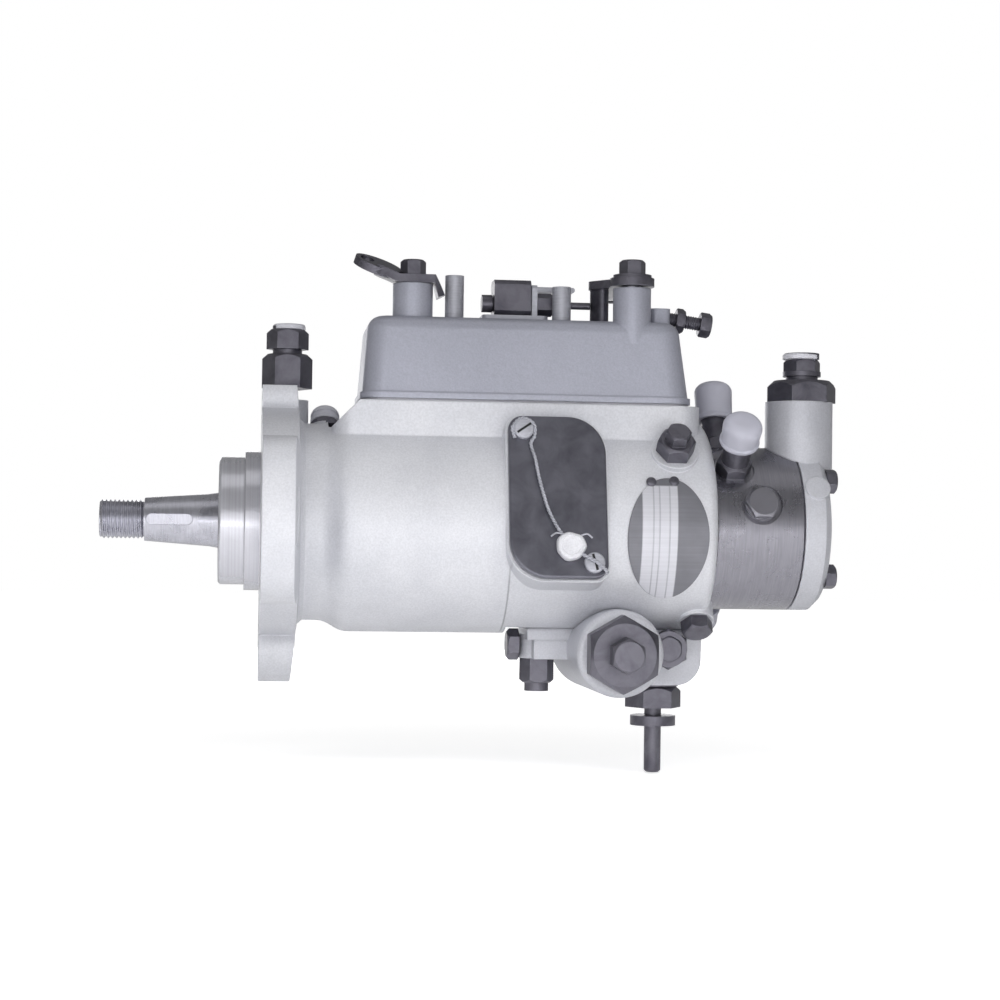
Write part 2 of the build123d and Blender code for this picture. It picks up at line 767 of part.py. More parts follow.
# Metering valve: a ground stem in the head with a small two-ended lever
with BuildPart() as metering_valve:
    with Locations((VALVE_X, VALVE_Y, valve_foot)):
        Cylinder(
            VALVE_R - RUN,
            valve_lever_z + 1 - valve_foot,
            align=(Align.CENTER, Align.CENTER, Align.MIN),
        )
    with Locations((VALVE_X, VALVE_Y, valve_foot + 4)):
        Cylinder(VALVE_R + 1, 2.5, mode=Mode.SUBTRACT)
        Cylinder(VALVE_R - 1, 2.5)
    with BuildSketch(Plane.XY.offset(valve_lever_z)):
        with Locations((VALVE_X, (LINK_Y + VALVE_Y - 5.5) / 2)):
            SlotOverall(LINK_Y - VALVE_Y + 5.5 + 6, 6.0, rotation=90)
        with Locations((VALVE_X, LINK_Y)):
            Circle(LINK_R + 0.5, mode=Mode.SUBTRACT)
    extrude(amount=1.6)
    with Locations((VALVE_X, VALVE_Y - 5.5, valve_lever_z)):
        Cylinder(1.2, 5.5, align=(Align.CENTER, Align.CENTER, Align.MIN))
finish(metering_valve.part, "metering_valve")

# Shut-off bar from the stop shaft to the metering valve
bar_y = STOP_Y + STOP_PIN_ARM
bar_z = PLATFORM_Z + 5.9
with BuildPart() as shut_off_bar:
    with BuildSketch(Plane.XY.offset(bar_z)):
        with BuildLine():
            Polyline(
                (STOP_X - 4.5, bar_y - 2.6),
                (STOP_X + 6, bar_y - 2.6),
                (STOP_X + 8, bar_y - 1.8),
                (VALVE_X - 4.6, bar_y - 1.8),
                (VALVE_X - 4.6, bar_y + 1.8),
                (STOP_X + 8, bar_y + 1.8),
                (STOP_X + 6, bar_y + 3.4),
                (STOP_X - 4.5, bar_y + 3.4),
                close=True,
            )
        make_face()
        with Locations((STOP_X, bar_y)):
            SlotOverall(5.0, 2 * STOP_PIN_R + 0.8, rotation=90, mode=Mode.SUBTRACT)
    extrude(amount=1.6)
finish(shut_off_bar.part, "shut_off_bar")

# Cam ring: lobes inside a ring that turns a little in the housing
cam_pitch = 360.0 / CAM_LOBES
cam_reach = CAM_R - CAM_LIFT
with BuildPart() as cam_ring:
    with BuildSketch(Plane.YZ.offset(CAM_START)):
        Circle(CAVITY_R - RUN)
        with BuildLine() as cam_track:
            for lobe in range(CAM_LOBES):
                start = lobe * cam_pitch
                angles = [radians(start + cam_pitch * part / 4) for part in range(5)]
                radii = (CAM_R, CAM_R - 0.25 * CAM_LIFT, cam_reach, CAM_R - 0.25 * CAM_LIFT, CAM_R)
                points = [(r * cos(a), r * sin(a)) for r, a in zip(radii, angles)]
                first = (-sin(angles[0]), cos(angles[0]))
                last = (-sin(angles[-1]), cos(angles[-1]))
                Spline(*points, tangents=(first, last))
        make_face(mode=Mode.SUBTRACT)
    extrude(amount=CAM_END - CAM_START)
    with BuildSketch(Plane.XY.offset(-CAVITY_R - 1)):
        with Locations((ADV_X, 0)):
            Circle(4.0)
    extrude(amount=9, mode=Mode.SUBTRACT)
finish(cam_ring.part, "cam_ring")

with BuildPart() as cam_screw:
    with Locations((ADV_X, 0, ADV_Z)):
        Sphere(BALL_R)
        Cylinder(2.2, -ADV_Z - CAVITY_R + 2, align=(Align.CENTER, Align.CENTER, Align.MIN))
    with Locations((ADV_X, 0, -CAVITY_R)):
        Cylinder(4.0 - SEAT, 7.5, align=(Align.CENTER, Align.CENTER, Align.MIN))
finish(cam_screw.part, "cam_screw")

# Rotor: drive dogs, pumping head with its cross bore and the long spindle
rotor_bore_x = (CAM_START + CAM_END) / 2
with BuildPart() as rotor:
    add(
        turned(
            [
                (ROTOR_START - 12, 0),
                (ROTOR_START - 12, QUILL_R + 3.5),
                (ROTOR_START, QUILL_R + 3.5),
                (ROTOR_START, ROTOR_HEAD_R),
                (HEAD_START - FREE, ROTOR_HEAD_R),
                (HEAD_START - FREE, ROTOR_SPINDLE_R - RUN),
                (HEAD_END - PUMP_RECESS, ROTOR_SPINDLE_R - RUN),
                (HEAD_END - PUMP_RECESS, ROTOR_SPINDLE_R - 2),
                (HEAD_END - PUMP_RECESS + 1, ROTOR_SPINDLE_R - 2),
                (HEAD_END - PUMP_RECESS + 1, 0),
            ]
        )
    )
    # Driven socket for the flats of the quill
    with BuildSketch(Plane.YZ.offset(ROTOR_START - 12)):
        Circle(QUILL_R + SEAT)
        Rectangle(30, 2 * QUILL_R - 3.0 + 2 * SEAT, mode=Mode.INTERSECT)
    extrude(amount=6.6, mode=Mode.SUBTRACT)
    # Pockets of the roller shoes and the bore of the plungers
    with BuildSketch(Plane.XZ.offset(-WHOLE / 8)):
        with Locations((rotor_bore_x, 0)):
            Circle(PLUNGER_R + RUN)
    extrude(amount=WHOLE / 4, mode=Mode.SUBTRACT)
    for side in (-1, 1):
        with Locations((rotor_bore_x, side * 14.0, 0)):
            Box(15.0, 8.0, 9.0, mode=Mode.SUBTRACT)
finish(rotor.part, "rotor")

with BuildPart() as pump_plungers:
    for side in (-1, 1):
        with Locations(looking(rotor_bore_x, side * 1.6, 0, (0, side, 0))):
            Cylinder(PLUNGER_R, 9.6, align=(Align.CENTER, Align.CENTER, Align.MIN))
finish(pump_plungers.part, "pump_plungers")

# Roller shoes and their rollers under the cam ring
roller_y = cam_reach - FREE - ROLLER_R
shoe_foot = 11.3
with BuildPart() as roller_shoes:
    for side in (-1, 1):
        middle = (shoe_foot + roller_y) / 2
        with Locations((rotor_bore_x, side * middle, 0)):
            Box(14.6, roller_y - shoe_foot, 8.6)
        with Locations(looking(rotor_bore_x - 7.3, side * roller_y, 0, (1, 0, 0))):
            Cylinder(
                ROLLER_R + SEAT,
                14.6,
                align=(Align.CENTER, Align.CENTER, Align.MIN),
                mode=Mode.SUBTRACT,
            )
    for side in (-1, 1):
        with Locations(looking(rotor_bore_x - 7.0, side * roller_y, 0, (1, 0, 0))):
            Cylinder(ROLLER_R, 14.0, align=(Align.CENTER, Align.CENTER, Align.MIN))
finish(roller_shoes.part, "roller_shoes")

# Adjusting plates on both sides of the rotor head that limit the shoes
with BuildPart() as adjusting_plates:
    for x in (ROTOR_START + 2.2, CAM_END - 1.2):
        with BuildSketch(Plane.YZ.offset(x)):
            Circle(19.2)
            Circle(ROTOR_HEAD_R + SEAT, mode=Mode.SUBTRACT)
        extrude(amount=1.6)
finish(adjusting_plates.part, "adjusting_plates")

# Hydraulic head: the steel barrel that carries the rotor and the outlets
with BuildPart() as hydraulic_head:
    add(
        turned(
            [
                (HEAD_START, ROTOR_SPINDLE_R),
                (HEAD_START, CAVITY_R - 1.2),
                (HEAD_START + 1.2, CAVITY_R - SEAT),
                (SEAL_X - 1.2, CAVITY_R - SEAT),
                (SEAL_X - 1.2, CAVITY_R - 2.3),
                (SEAL_X + 1.2, CAVITY_R - 2.3),
                (SEAL_X + 1.2, CAVITY_R - SEAT),
                (HEAD_SHOULDER, CAVITY_R - SEAT),
                (HEAD_SHOULDER + 1.0, CAVITY_R - 0.9),
                (HEAD_SHOULDER + 1.6, HEAD_R),
                (HEAD_END - 0.8, HEAD_R),
                (HEAD_END, HEAD_R - 0.8),
                (HEAD_END, PUMP_RECESS_R),
                (HEAD_END - PUMP_RECESS, PUMP_RECESS_R),
                (HEAD_END - PUMP_RECESS, ROTOR_SPINDLE_R),
            ]
        )
    )
    with Locations((VALVE_X, VALVE_Y, valve_foot)):
        Cylinder(VALVE_R, 30, align=(Align.CENTER, Align.CENTER, Align.MIN), mode=Mode.SUBTRACT)
    with BuildSketch(Plane.XY.offset(CAVITY_R - 5)):
        with Locations((VALVE_X, VALVE_Y)):
            Rectangle(9.9, 22)
    extrude(amount=10, mode=Mode.SUBTRACT)
    for angle in OUTLET_ANGLES:
        with BuildSketch(facing(OUTLET_X, angle, HEAD_R - 0.8)):
            Circle(OUTLET_R + 2)
        extrude(amount=4, mode=Mode.SUBTRACT)
        with Locations(facing(OUTLET_X, angle, HEAD_R)):
            Cylinder(3.5, 22, mode=Mode.SUBTRACT)
    with BuildSketch(facing(SIDE_PLUG_X, SIDE_PLUG_ANGLE, HEAD_R - 1.0)):
        Circle(7.5)
    extrude(amount=4, mode=Mode.SUBTRACT)
    with Locations(facing(SIDE_PLUG_X, SIDE_PLUG_ANGLE, HEAD_R)):
        Cylinder(3.5, 16, mode=Mode.SUBTRACT)
    with Locations(facing(BLEED_X, BLEED_ANGLE, CAVITY_R)):
        Cylinder(3.5, 8, mode=Mode.SUBTRACT)
    with Locations(facing(LOCK_X, LOCK_ANGLE, CAVITY_R)):
        Cylinder(3.0, 8, mode=Mode.SUBTRACT)
    with Locations((FITTING_X, 0, -CAVITY_R)):
        Cylinder(5.0, 14, mode=Mode.SUBTRACT)
    with Locations(looking(HEAD_END, 0, 0, (1, 0, 0))):
        with PolarLocations(END_SCREW_CIRCLE_R, 4, start_angle=45):
            Cylinder(2.5, 24, mode=Mode.SUBTRACT)
finish(hydraulic_head.part, "hydraulic_head")

# Outlet unions and their dust caps
union_stub = hex_screw(11.4, 5.0, 3.45, 9.0)
with BuildPart() as outlet_unions:
    with Locations(facing(SIDE_PLUG_X, SIDE_PLUG_ANGLE, HEAD_R - 1.0)):
        add(hex_screw(11.0, 4.0, 3.45, 7.0))
        Cylinder(6.3, 1.4, align=(Align.CENTER, Align.CENTER, Align.MIN))
    for angle in OUTLET_ANGLES:
        with Locations(facing(OUTLET_X, angle, HEAD_R - 0.8)):
            add(union_stub)
            Cylinder(
                OUTLET_R - 0.6,
                OUTLET_REACH + 4 - HEAD_R,
                align=(Align.CENTER, Align.CENTER, Align.MIN),
            )
finish(outlet_unions.part, "outlet_unions")

outlet_cap = capsule_cap(CAP_R, CAP_REACH - OUTLET_REACH + 1)
leak_cap = capsule_cap(6.4, 9.2)
with BuildPart() as dust_caps:
    for angle in OUTLET_ANGLES:
        with Locations(facing(OUTLET_X, angle, OUTLET_REACH - 1)):
            add(outlet_cap)
    with Locations(facing(LEAK_X, LEAK_ANGLE, LEAK_SEAT_R + 3.2)):
        add(leak_cap)
finish(dust_caps.part, "dust_caps")

# Transfer pump: eccentric liner, slotted rotor and two blades
liner_shift = 1.6
pump_depth = PUMP_RECESS - 0.2
pump_floor = HEAD_END - PUMP_RECESS + 0.1
with BuildPart() as transfer_pump_liner:
    with BuildSketch(Plane.YZ.offset(pump_floor)):
        Circle(PUMP_RECESS_R - SEAT)
        with Locations((0, liner_shift)):
            Circle(13.4, mode=Mode.SUBTRACT)
    extrude(amount=pump_depth)
finish(transfer_pump_liner.part, "transfer_pump_liner")

with BuildPart() as transfer_pump_rotor:
    with BuildSketch(Plane.YZ.offset(pump_floor + 0.1)):
        Circle(11.4)
        Circle(ROTOR_SPINDLE_R - 2 + SEAT, mode=Mode.SUBTRACT)
        Rectangle(40, 2.4, mode=Mode.SUBTRACT)
        Rectangle(2.4, 40, mode=Mode.SUBTRACT)
        Circle(ROTOR_SPINDLE_R - 0.6)
        Circle(ROTOR_SPINDLE_R - 2 + SEAT, mode=Mode.SUBTRACT)
    extrude(amount=pump_depth - 0.2)
    with BuildSketch(Plane.YZ.offset(pump_floor + 0.1)):
        with PolarLocations(0, 4):
            with Locations(((ROTOR_SPINDLE_R - 0.6 + 11.55) / 2 + 0.1, 0)):
                Rectangle(11.35 - ROTOR_SPINDLE_R + 0.6, 2.3)
    extrude(amount=pump_depth - 0.2)
finish(transfer_pump_rotor.part, "transfer_pump_rotor")

# End plate with the inlet boss, bored for the regulating valve
end_face = HEAD_END + END_PLATE_T
with BuildPart() as end_plate:
    with BuildSketch(Plane.YZ.offset(HEAD_END)):
        Circle(END_PLATE_R)
    extrude(amount=END_PLATE_T)
    chamfer(end_plate.edges().filter_by(GeomType.CIRCLE).sort_by(Axis.X)[-1], 2.5)
    with BuildSketch(Plane.XY.offset(INLET_FOOT)):
        with Locations((INLET_X, INLET_Y)):
            Circle(INLET_R)
    extrude(amount=INLET_TOP - INLET_FOOT)
    add(
        turned(
            [
                (HEAD_SHOULDER, 0),
                (HEAD_SHOULDER, HEAD_R + SEAT),
                (HEAD_END, HEAD_R + SEAT),
                (HEAD_END, 0),
            ]
        ),
        mode=Mode.SUBTRACT,
    )
    with BuildSketch(facing(HEAD_END + 5, 29, END_PLATE_R - 6)):
        Circle(4.6)
    extrude(amount=6.6)
    with Locations(looking(end_face, 0, 0, (1, 0, 0))):
        with PolarLocations(END_SCREW_CIRCLE_R, 4, start_angle=45):
            Cylinder(2.7, 40, mode=Mode.SUBTRACT)
    with Locations((INLET_X + 2, INLET_Y, INLET_TOP)):
        Cylinder(
            SLEEVE_VALVE_R,
            36,
            align=(Align.CENTER, Align.CENTER, Align.MAX),
            mode=Mode.SUBTRACT,
        )
finish(end_plate.part, "end_plate")

# Regulating valve in the end plate: sleeve, piston and spring
valve_x = INLET_X + 2
sleeve_foot = INLET_TOP - 36
with BuildPart() as regulating_sleeve:
    with Locations((valve_x, INLET_Y, sleeve_foot)):
        add(ring(SLEEVE_VALVE_R - SEAT, VALVE_PISTON_R, 22))
        add(ring(SLEEVE_VALVE_R - SEAT, 1.2, 1.6))
finish(regulating_sleeve.part, "regulating_sleeve")

with BuildPart() as regulating_piston:
    with Locations((valve_x, INLET_Y, sleeve_foot + 1.9)):
        Cylinder(VALVE_PISTON_R - RUN, 6.0, align=(Align.CENTER, Align.CENTER, Align.MIN))
finish(regulating_piston.part, "regulating_piston")

with BuildPart() as regulating_spring:
    with Locations((valve_x, INLET_Y, sleeve_foot + 8.6)):
        add(coil(1.9, 0.4, 2.6, 13.0))
finish(regulating_spring.part, "regulating_spring")

with BuildPart() as inlet_filter:
    with Locations((valve_x, INLET_Y, sleeve_foot + 22.3)):
        add(ring(4.1, 3.4, 11.5))
        Cylinder(4.1, 0.8, align=(Align.CENTER, Align.CENTER, Align.MIN))
finish(inlet_filter.part, "inlet_filter")

# Inlet adaptor
with BuildPart() as inlet_adaptor:
    with Locations((INLET_X + 1, INLET_Y, INLET_TOP)):
        add(hexagon(22.4, 8.0))
        Cylinder(5.9, 9.6, align=(Align.CENTER, Align.CENTER, Align.MIN))
    with Locations((valve_x, INLET_Y, INLET_TOP - 1.4)):
        add(ring(SLEEVE_VALVE_R - SEAT, 2.6, 1.5))
finish(inlet_adaptor.part, "inlet_adaptor")

end_screw = hex_screw(8.0, 4.0, 2.45, 20.0)
with BuildPart() as end_plate_screws:
    with Locations(looking(end_face, 0, 0, (1, 0, 0))):
        with PolarLocations(END_SCREW_CIRCLE_R, 4, start_angle=45):
            add(end_screw)
finish(end_plate_screws.part, "end_plate_screws")

# Control cover: a drafted box casting with bosses for the two shafts
cover_middle = (COVER_START + COVER_END) / 2
top_length = COVER_LENGTH - COVER_LEFT_DRAFT - COVER_RIGHT_DRAFT
top_middle = cover_middle + (COVER_LEFT_DRAFT - COVER_RIGHT_DRAFT) / 2
cover_base = PLATFORM_Z + GASKET_T
max_screw_y = -6.0
max_screw_tilt = radians(8)
max_screw_plane = looking(
    COVER_END - 9.0,
    max_screw_y,
    COVER_TOP + 3.3,
    (cos(max_screw_tilt), 0, -sin(max_screw_tilt)),
    (0, 1, 0),
)
with BuildPart() as control_cover:
    with BuildSketch(Plane.XY.offset(cover_base)):
        with Locations((cover_middle, 0)):
            RectangleRounded(COVER_LENGTH, 2 * PLATFORM_HALF_W, COVER_CORNER_R)
    with BuildSketch(Plane.XY.offset(COVER_TOP)):
        with Locations((top_middle, 0)):
            RectangleRounded(
                top_length, 2 * (PLATFORM_HALF_W - COVER_SIDE_DRAFT), COVER_CORNER_R
            )
    loft(ruled=True)
    top_rim = control_cover.faces().sort_by(Axis.Z)[-1].edges()
    fillet(top_rim, COVER_TOP_FILLET)
    with BuildSketch(Plane.XY.offset(cover_base)):
        with Locations((cover_middle, 0)):
            RectangleRounded(
                COVER_LENGTH + 2 * COVER_LIP,
                2 * (PLATFORM_HALF_W + COVER_LIP),
                COVER_CORNER_R + COVER_LIP,
            )
    extrude(amount=COVER_LIP_H)
    with BuildSketch(Plane.XY.offset(cover_base)):
        with Locations((cover_middle, 0)):
            RectangleRounded(
                COVER_LENGTH - 2 * COVER_WALL, 2 * (PLATFORM_HALF_W - COVER_WALL), 3.0
            )
    with BuildSketch(Plane.XY.offset(COVER_TOP - COVER_WALL)):
        with Locations((top_middle, 0)):
            RectangleRounded(
                top_length - 2 * COVER_WALL,
                2 * (PLATFORM_HALF_W - COVER_SIDE_DRAFT - COVER_WALL),
                3.0,
            )
    loft(ruled=True, mode=Mode.SUBTRACT)
    with BuildSketch(Plane.XY.offset(COVER_TOP - 8)):
        with Locations((STOP_X, STOP_Y)):
            Circle(STOP_BOSS_R)
        with Locations((THROTTLE_X, THROTTLE_Y)):
            Circle(THROTTLE_BOSS_R)
    extrude(amount=8 + STOP_BOSS_H)
    with BuildSketch(Plane.XY.offset(COVER_TOP - 2)):
        with Locations((COVER_END - 9.0, max_screw_y)):
            RectangleRounded(7.4, 9.0, 2.0)
    extrude(amount=8.2)
    with Locations((STOP_X, STOP_Y, COVER_TOP)):
        Cylinder(STOP_SHAFT_R, 40, mode=Mode.SUBTRACT)
    with Locations((THROTTLE_X, THROTTLE_Y, COVER_TOP)):
        Cylinder(THROTTLE_SHAFT_R, 40, mode=Mode.SUBTRACT)
    with Locations(*[(x, STUD_Y, COVER_TOP) for x in STUD_X]):
        Cylinder(STUD_R + 0.3, 20, mode=Mode.SUBTRACT)
    with Locations(max_screw_plane):
        Cylinder(2.5, 30, mode=Mode.SUBTRACT)
finish(control_cover.part, "control_cover")

# Studs and tall nuts that hold the control cover
with BuildPart() as cover_studs:
    for x, nut_height in zip(STUD_X, NUT_HEIGHTS):
        with Locations((x, STUD_Y, COVER_TOP)):
            Cylinder(3.4, nut_height, align=(Align.CENTER, Align.CENTER, Align.MIN))
            Cylinder(
                STUD_R,
                nut_height - 3,
                align=(Align.CENTER, Align.CENTER, Align.MIN),
                mode=Mode.SUBTRACT,
            )
        with Locations((x, STUD_Y, PLATFORM_Z - STUD_DEPTH)):
            Cylinder(
                STUD_R - SEAT,
                COVER_TOP + nut_height - 3 - PLATFORM_Z + STUD_DEPTH,
                align=(Align.CENTER, Align.CENTER, Align.MIN),
            )
finish(cover_studs.part, "cover_studs")

# Stop control: shaft with its eccentric pin, bent lever and nut
stop_top = COVER_TOP + STOP_BOSS_H
with BuildPart() as stop_shaft:
    with Locations((STOP_X, STOP_Y, bar_z + 3.2)):
        Cylinder(
            STOP_SHAFT_R - RUN,
            stop_top + STOP_LEVER_T + NUT_H - bar_z - 3.2,
            align=(Align.CENTER, Align.CENTER, Align.MIN),
        )
    with BuildSketch(Plane.XY.offset(bar_z + 2.0)):
        with Locations((STOP_X, STOP_Y + STOP_PIN_ARM / 2)):
            SlotOverall(STOP_PIN_ARM + 8, 8.0, rotation=90)
    extrude(amount=3.0)
    with Locations((STOP_X, bar_y, bar_z - 1.4)):
        Cylinder(STOP_PIN_R, 4, align=(Align.CENTER, Align.CENTER, Align.MIN))
finish(stop_shaft.part, "stop_shaft")

rise = radians(STOP_LEVER_RISE)
pad_centre = (
    STOP_X - STOP_PAD_REACH * cos(rise) + 4.5,
    STOP_Y,
    stop_top + 1.4 + (STOP_PAD_REACH - 4.5) * sin(rise) - 0.5,
)
with BuildPart() as stop_lever:
    with BuildSketch(Plane.XZ.offset(-STOP_Y - 5.0)):
        with BuildLine():
            Polyline(
                (STOP_X - 14, stop_top + FREE + 9 * sin(rise)),
                (STOP_X - 5.4, stop_top + FREE),
                (STOP_X + 7.6, stop_top + FREE),
                (STOP_X + STOP_TAIL_REACH - 0.6, stop_top - 4.8),
                (STOP_X + STOP_TAIL_REACH + 2.0, stop_top - 3.8),
                (STOP_X + 7.8, stop_top + STOP_LEVER_T + FREE),
                (STOP_X - 5.0, stop_top + STOP_LEVER_T + FREE),
                (STOP_X - 13, stop_top + STOP_LEVER_T + FREE + 9 * sin(rise)),
                close=True,
            )
        make_face()
    extrude(amount=10.0)
    with BuildSketch(Plane.XY.offset(stop_top - 8)):
        with Locations((STOP_X - 2, STOP_Y)):
            SlotOverall(2 * STOP_TAIL_REACH + 9, 10.0)
    extrude(amount=30, mode=Mode.INTERSECT)
    pad_normal = Vector(sin(rise) * 0.8, -sin(radians(STOP_PAD_TWIST)), cos(radians(STOP_PAD_TWIST)))
    pad_plane = Plane(origin=pad_centre, x_dir=(-cos(rise), 0, sin(rise)), z_dir=pad_normal)
    with BuildSketch(pad_plane):
        Ellipse(STOP_PAD_LENGTH / 2, STOP_PAD_WIDTH / 2)
    extrude(amount=STOP_LEVER_T / 2, both=True)
    with Locations((STOP_X, STOP_Y, stop_top)):
        Cylinder(STOP_SHAFT_R, 30, mode=Mode.SUBTRACT)
    with Locations(pad_plane):
        with Locations((4.4, 0, 0)):
            Cylinder(STOP_HOLE_R, 12, mode=Mode.SUBTRACT)
    with Locations((STOP_X, STOP_Y, stop_top + STOP_LEVER_T + FREE)):
        add(hexagon(8.0, NUT_H, STOP_SHAFT_R))
finish(stop_lever.part, "stop_lever")

# Throttle control: shaft with its inner lever, outer lever with its crank, nut
throttle_top = COVER_TOP + THROTTLE_BOSS_H
inner_lever_z = SPRING_Z - 0.9
with BuildPart() as throttle_shaft:
    with Locations((THROTTLE_X, THROTTLE_Y, inner_lever_z - 1)):
        Cylinder(
            THROTTLE_SHAFT_R - RUN,
            throttle_top + LEVER_T + THROTTLE_NUT_H - inner_lever_z + 1,
            align=(Align.CENTER, Align.CENTER, Align.MIN),
        )
    with BuildSketch(Plane.XY.offset(inner_lever_z - 1)):
        with Locations((THROTTLE_X - 0.8, (THROTTLE_Y + SPRING_Y) / 2)):
            SlotOverall(SPRING_Y - THROTTLE_Y + 6.5, 6.5, rotation=94)
        with Locations((THROTTLE_X - 1.6, SPRING_Y)):
            Circle(0.9, mode=Mode.SUBTRACT)
    extrude(amount=3.0)
finish(throttle_shaft.part, "throttle_shaft")

crank = (
    THROTTLE_X + CRANK_R * cos(radians(CRANK_ANGLE)),
    THROTTLE_Y + CRANK_R * sin(radians(CRANK_ANGLE)),
)
lever_z = throttle_top + FREE
with BuildPart() as throttle_lever:
    with BuildSketch(Plane.XY.offset(lever_z)):
        with Locations((THROTTLE_X, THROTTLE_Y)):
            Circle(8.0)
        with Locations((THROTTLE_X, THROTTLE_Y + LEVER_LENGTH / 2)):
            SlotOverall(LEVER_LENGTH + 13, 13.0, rotation=90)
        with Locations(((THROTTLE_X + crank[0]) / 2, (THROTTLE_Y + crank[1]) / 2)):
            SlotOverall(CRANK_R + 8, 8.0, rotation=CRANK_ANGLE)
        with Locations((THROTTLE_X, THROTTLE_Y)):
            Circle(THROTTLE_SHAFT_R, mode=Mode.SUBTRACT)
        with Locations((THROTTLE_X, THROTTLE_Y + LEVER_LENGTH)):
            Circle(LEVER_HOLE_R, mode=Mode.SUBTRACT)
    extrude(amount=LEVER_T)
    with BuildSketch(Plane.XY.offset(lever_z)):
        with Locations(crank):
            SlotOverall(CRANK_TAB_L, CRANK_TAB, rotation=CRANK_ANGLE)
    extrude(amount=-CRANK_TAB_DROP)
    with Locations((THROTTLE_X, THROTTLE_Y, lever_z + LEVER_T)):
        add(hexagon(8.4, THROTTLE_NUT_H, THROTTLE_SHAFT_R))
        add(ring(7.0, THROTTLE_SHAFT_R, WASHER_T))
finish(throttle_lever.part, "throttle_lever")

# Idle stop: bracket on the cover, anti-stall body and the idle screw
idle_z = COVER_TOP + 6.8
idle_y = -5.0
bracket_t = 2.0
bracket_top = COVER_TOP + 13.5
upright_x = STUD_X[1] - 10.6
body_x = upright_x - 7.0
with BuildPart() as idle_bracket:
    with BuildSketch(Plane.XY.offset(COVER_TOP + FREE)):
        with Locations((upright_x - 5.9, idle_y + 1)):
            RectangleRounded(24.0, 13.0, 2.0)
    extrude(amount=bracket_t)
    with BuildSketch(Plane.YZ.offset(upright_x)):
        with Locations((idle_y, (COVER_TOP + bracket_top) / 2)):
            RectangleRounded(11.0, bracket_top - COVER_TOP, 1.5)
        with Locations((idle_y, idle_z)):
            Circle(2.5, mode=Mode.SUBTRACT)
    extrude(amount=bracket_t)
    lip_start = upright_x + 0.6
    lip_end = THROTTLE_X - LIP_TO_THROTTLE
    with BuildSketch(Plane.XZ.offset(-idle_y - 5.5)):
        with Locations(((lip_start + lip_end) / 2, bracket_top - 0.9)):
            RectangleRounded(lip_end - lip_start, 1.8, 0.8)
    extrude(amount=5.0)
finish(idle_bracket.part, "idle_bracket")

with BuildPart() as anti_stall_body:
    with Locations((body_x, idle_y, COVER_TOP + 8.7)):
        Box(13.4, 12.0, 12.8)
    chamfer(anti_stall_body.edges().filter_by(Axis.X), 1.6)
    with Locations(looking(body_x, idle_y, idle_z, (1, 0, 0))):
        Cylinder(2.5, 40, mode=Mode.SUBTRACT)
finish(anti_stall_body.part, "anti_stall_body")

tab_reach = (CRANK_TAB + (CRANK_TAB_L - CRANK_TAB) * abs(cos(radians(CRANK_ANGLE)))) / 2
idle_tip = crank[0] - tab_reach - FREE
with BuildPart() as idle_screw:
    with Locations(looking(body_x - 7.4, idle_y, idle_z, (1, 0, 0))):
        Cylinder(2.5 - SEAT, 22.0, align=(Align.CENTER, Align.CENTER, Align.MIN))
    with Locations(looking(body_x - 10.8, idle_y, idle_z, (1, 0, 0))):
        Cylinder(3.2, 3.8, align=(Align.CENTER, Align.CENTER, Align.MIN))
    with Locations(looking(upright_x + 2.2, idle_y, idle_z, (1, 0, 0))):
        add(hexagon(7.4, 6.2))
        Cylinder(
            1.3, idle_tip - upright_x - 2.2, align=(Align.CENTER, Align.CENTER, Align.MIN)
        )
finish(idle_screw.part, "idle_screw")

with BuildPart() as max_speed_screw:
    with Locations(max_screw_plane):
        with Locations((0, 0, -4.6)):
            Cylinder(2.5 - SEAT, 20, align=(Align.CENTER, Align.CENTER, Align.MIN))
        with Locations((0, 0, 6.2)):
            add(hexagon(8.0, 3.2))
        with Locations((0, 0, 15.2)):
            add(hexagon(8.0, 4.2))
finish(max_speed_screw.part, "max_speed_screw")

# Governor spring between the arm and the inner throttle lever, with its two hooks
spring_pitch = 4.4
spring_turns = 7
coil_length = spring_pitch * spring_turns
spring_end = THROTTLE_X - 1.6
coil_start = (arm_x + spring_end - coil_length) / 2
hook_z = SPRING_Z - 2.6
with BuildPart() as governor_spring:
    with Locations(looking(coil_start, SPRING_Y, SPRING_Z, (1, 0, 0), (0, 0, -1))):
        add(coil(2.6, 0.55, spring_pitch, coil_length))
    with Locations(looking(arm_x - 1.2, SPRING_Y, hook_z, (1, 0, 0))):
        Cylinder(0.55, coil_start - arm_x + 1.4, align=(Align.CENTER, Align.CENTER, Align.MIN))
    with Locations(looking(coil_start + coil_length - 0.2, SPRING_Y, hook_z, (1, 0, 0))):
        Cylinder(
            0.55,
            spring_end - coil_start - coil_length + 0.5,
            align=(Align.CENTER, Align.CENTER, Align.MIN),
        )
    with Locations((spring_end, SPRING_Y, hook_z - 0.5)):
        Cylinder(0.55, 4.6, align=(Align.CENTER, Align.CENTER, Align.MIN))
    with Locations((arm_x - 1.0, SPRING_Y, hook_z - 0.5)):
        Cylinder(0.55, 3.4, align=(Align.CENTER, Align.CENTER, Align.MIN))
finish(governor_spring.part, "governor_spring")

# Inspection cover with its screws, seal wire and lead seal
cover_plane = facing(INSPECT_X, COVER_TILT, INSPECT_REACH + INSPECT_GASKET_T)
with BuildPart() as inspection_cover:
    with BuildSketch(cover_plane):
        add(cover_shape)
    extrude(amount=INSPECT_T)
    outer = inspection_cover.faces().sort_by(Axis.Y)[0]
    fillet(outer.edges(), 0.8)
    with BuildSketch(cover_plane):
        with Locations(*inspect_screws):
            Circle(2.4)
    extrude(amount=10, mode=Mode.SUBTRACT)
finish(inspection_cover.part, "inspection_cover")

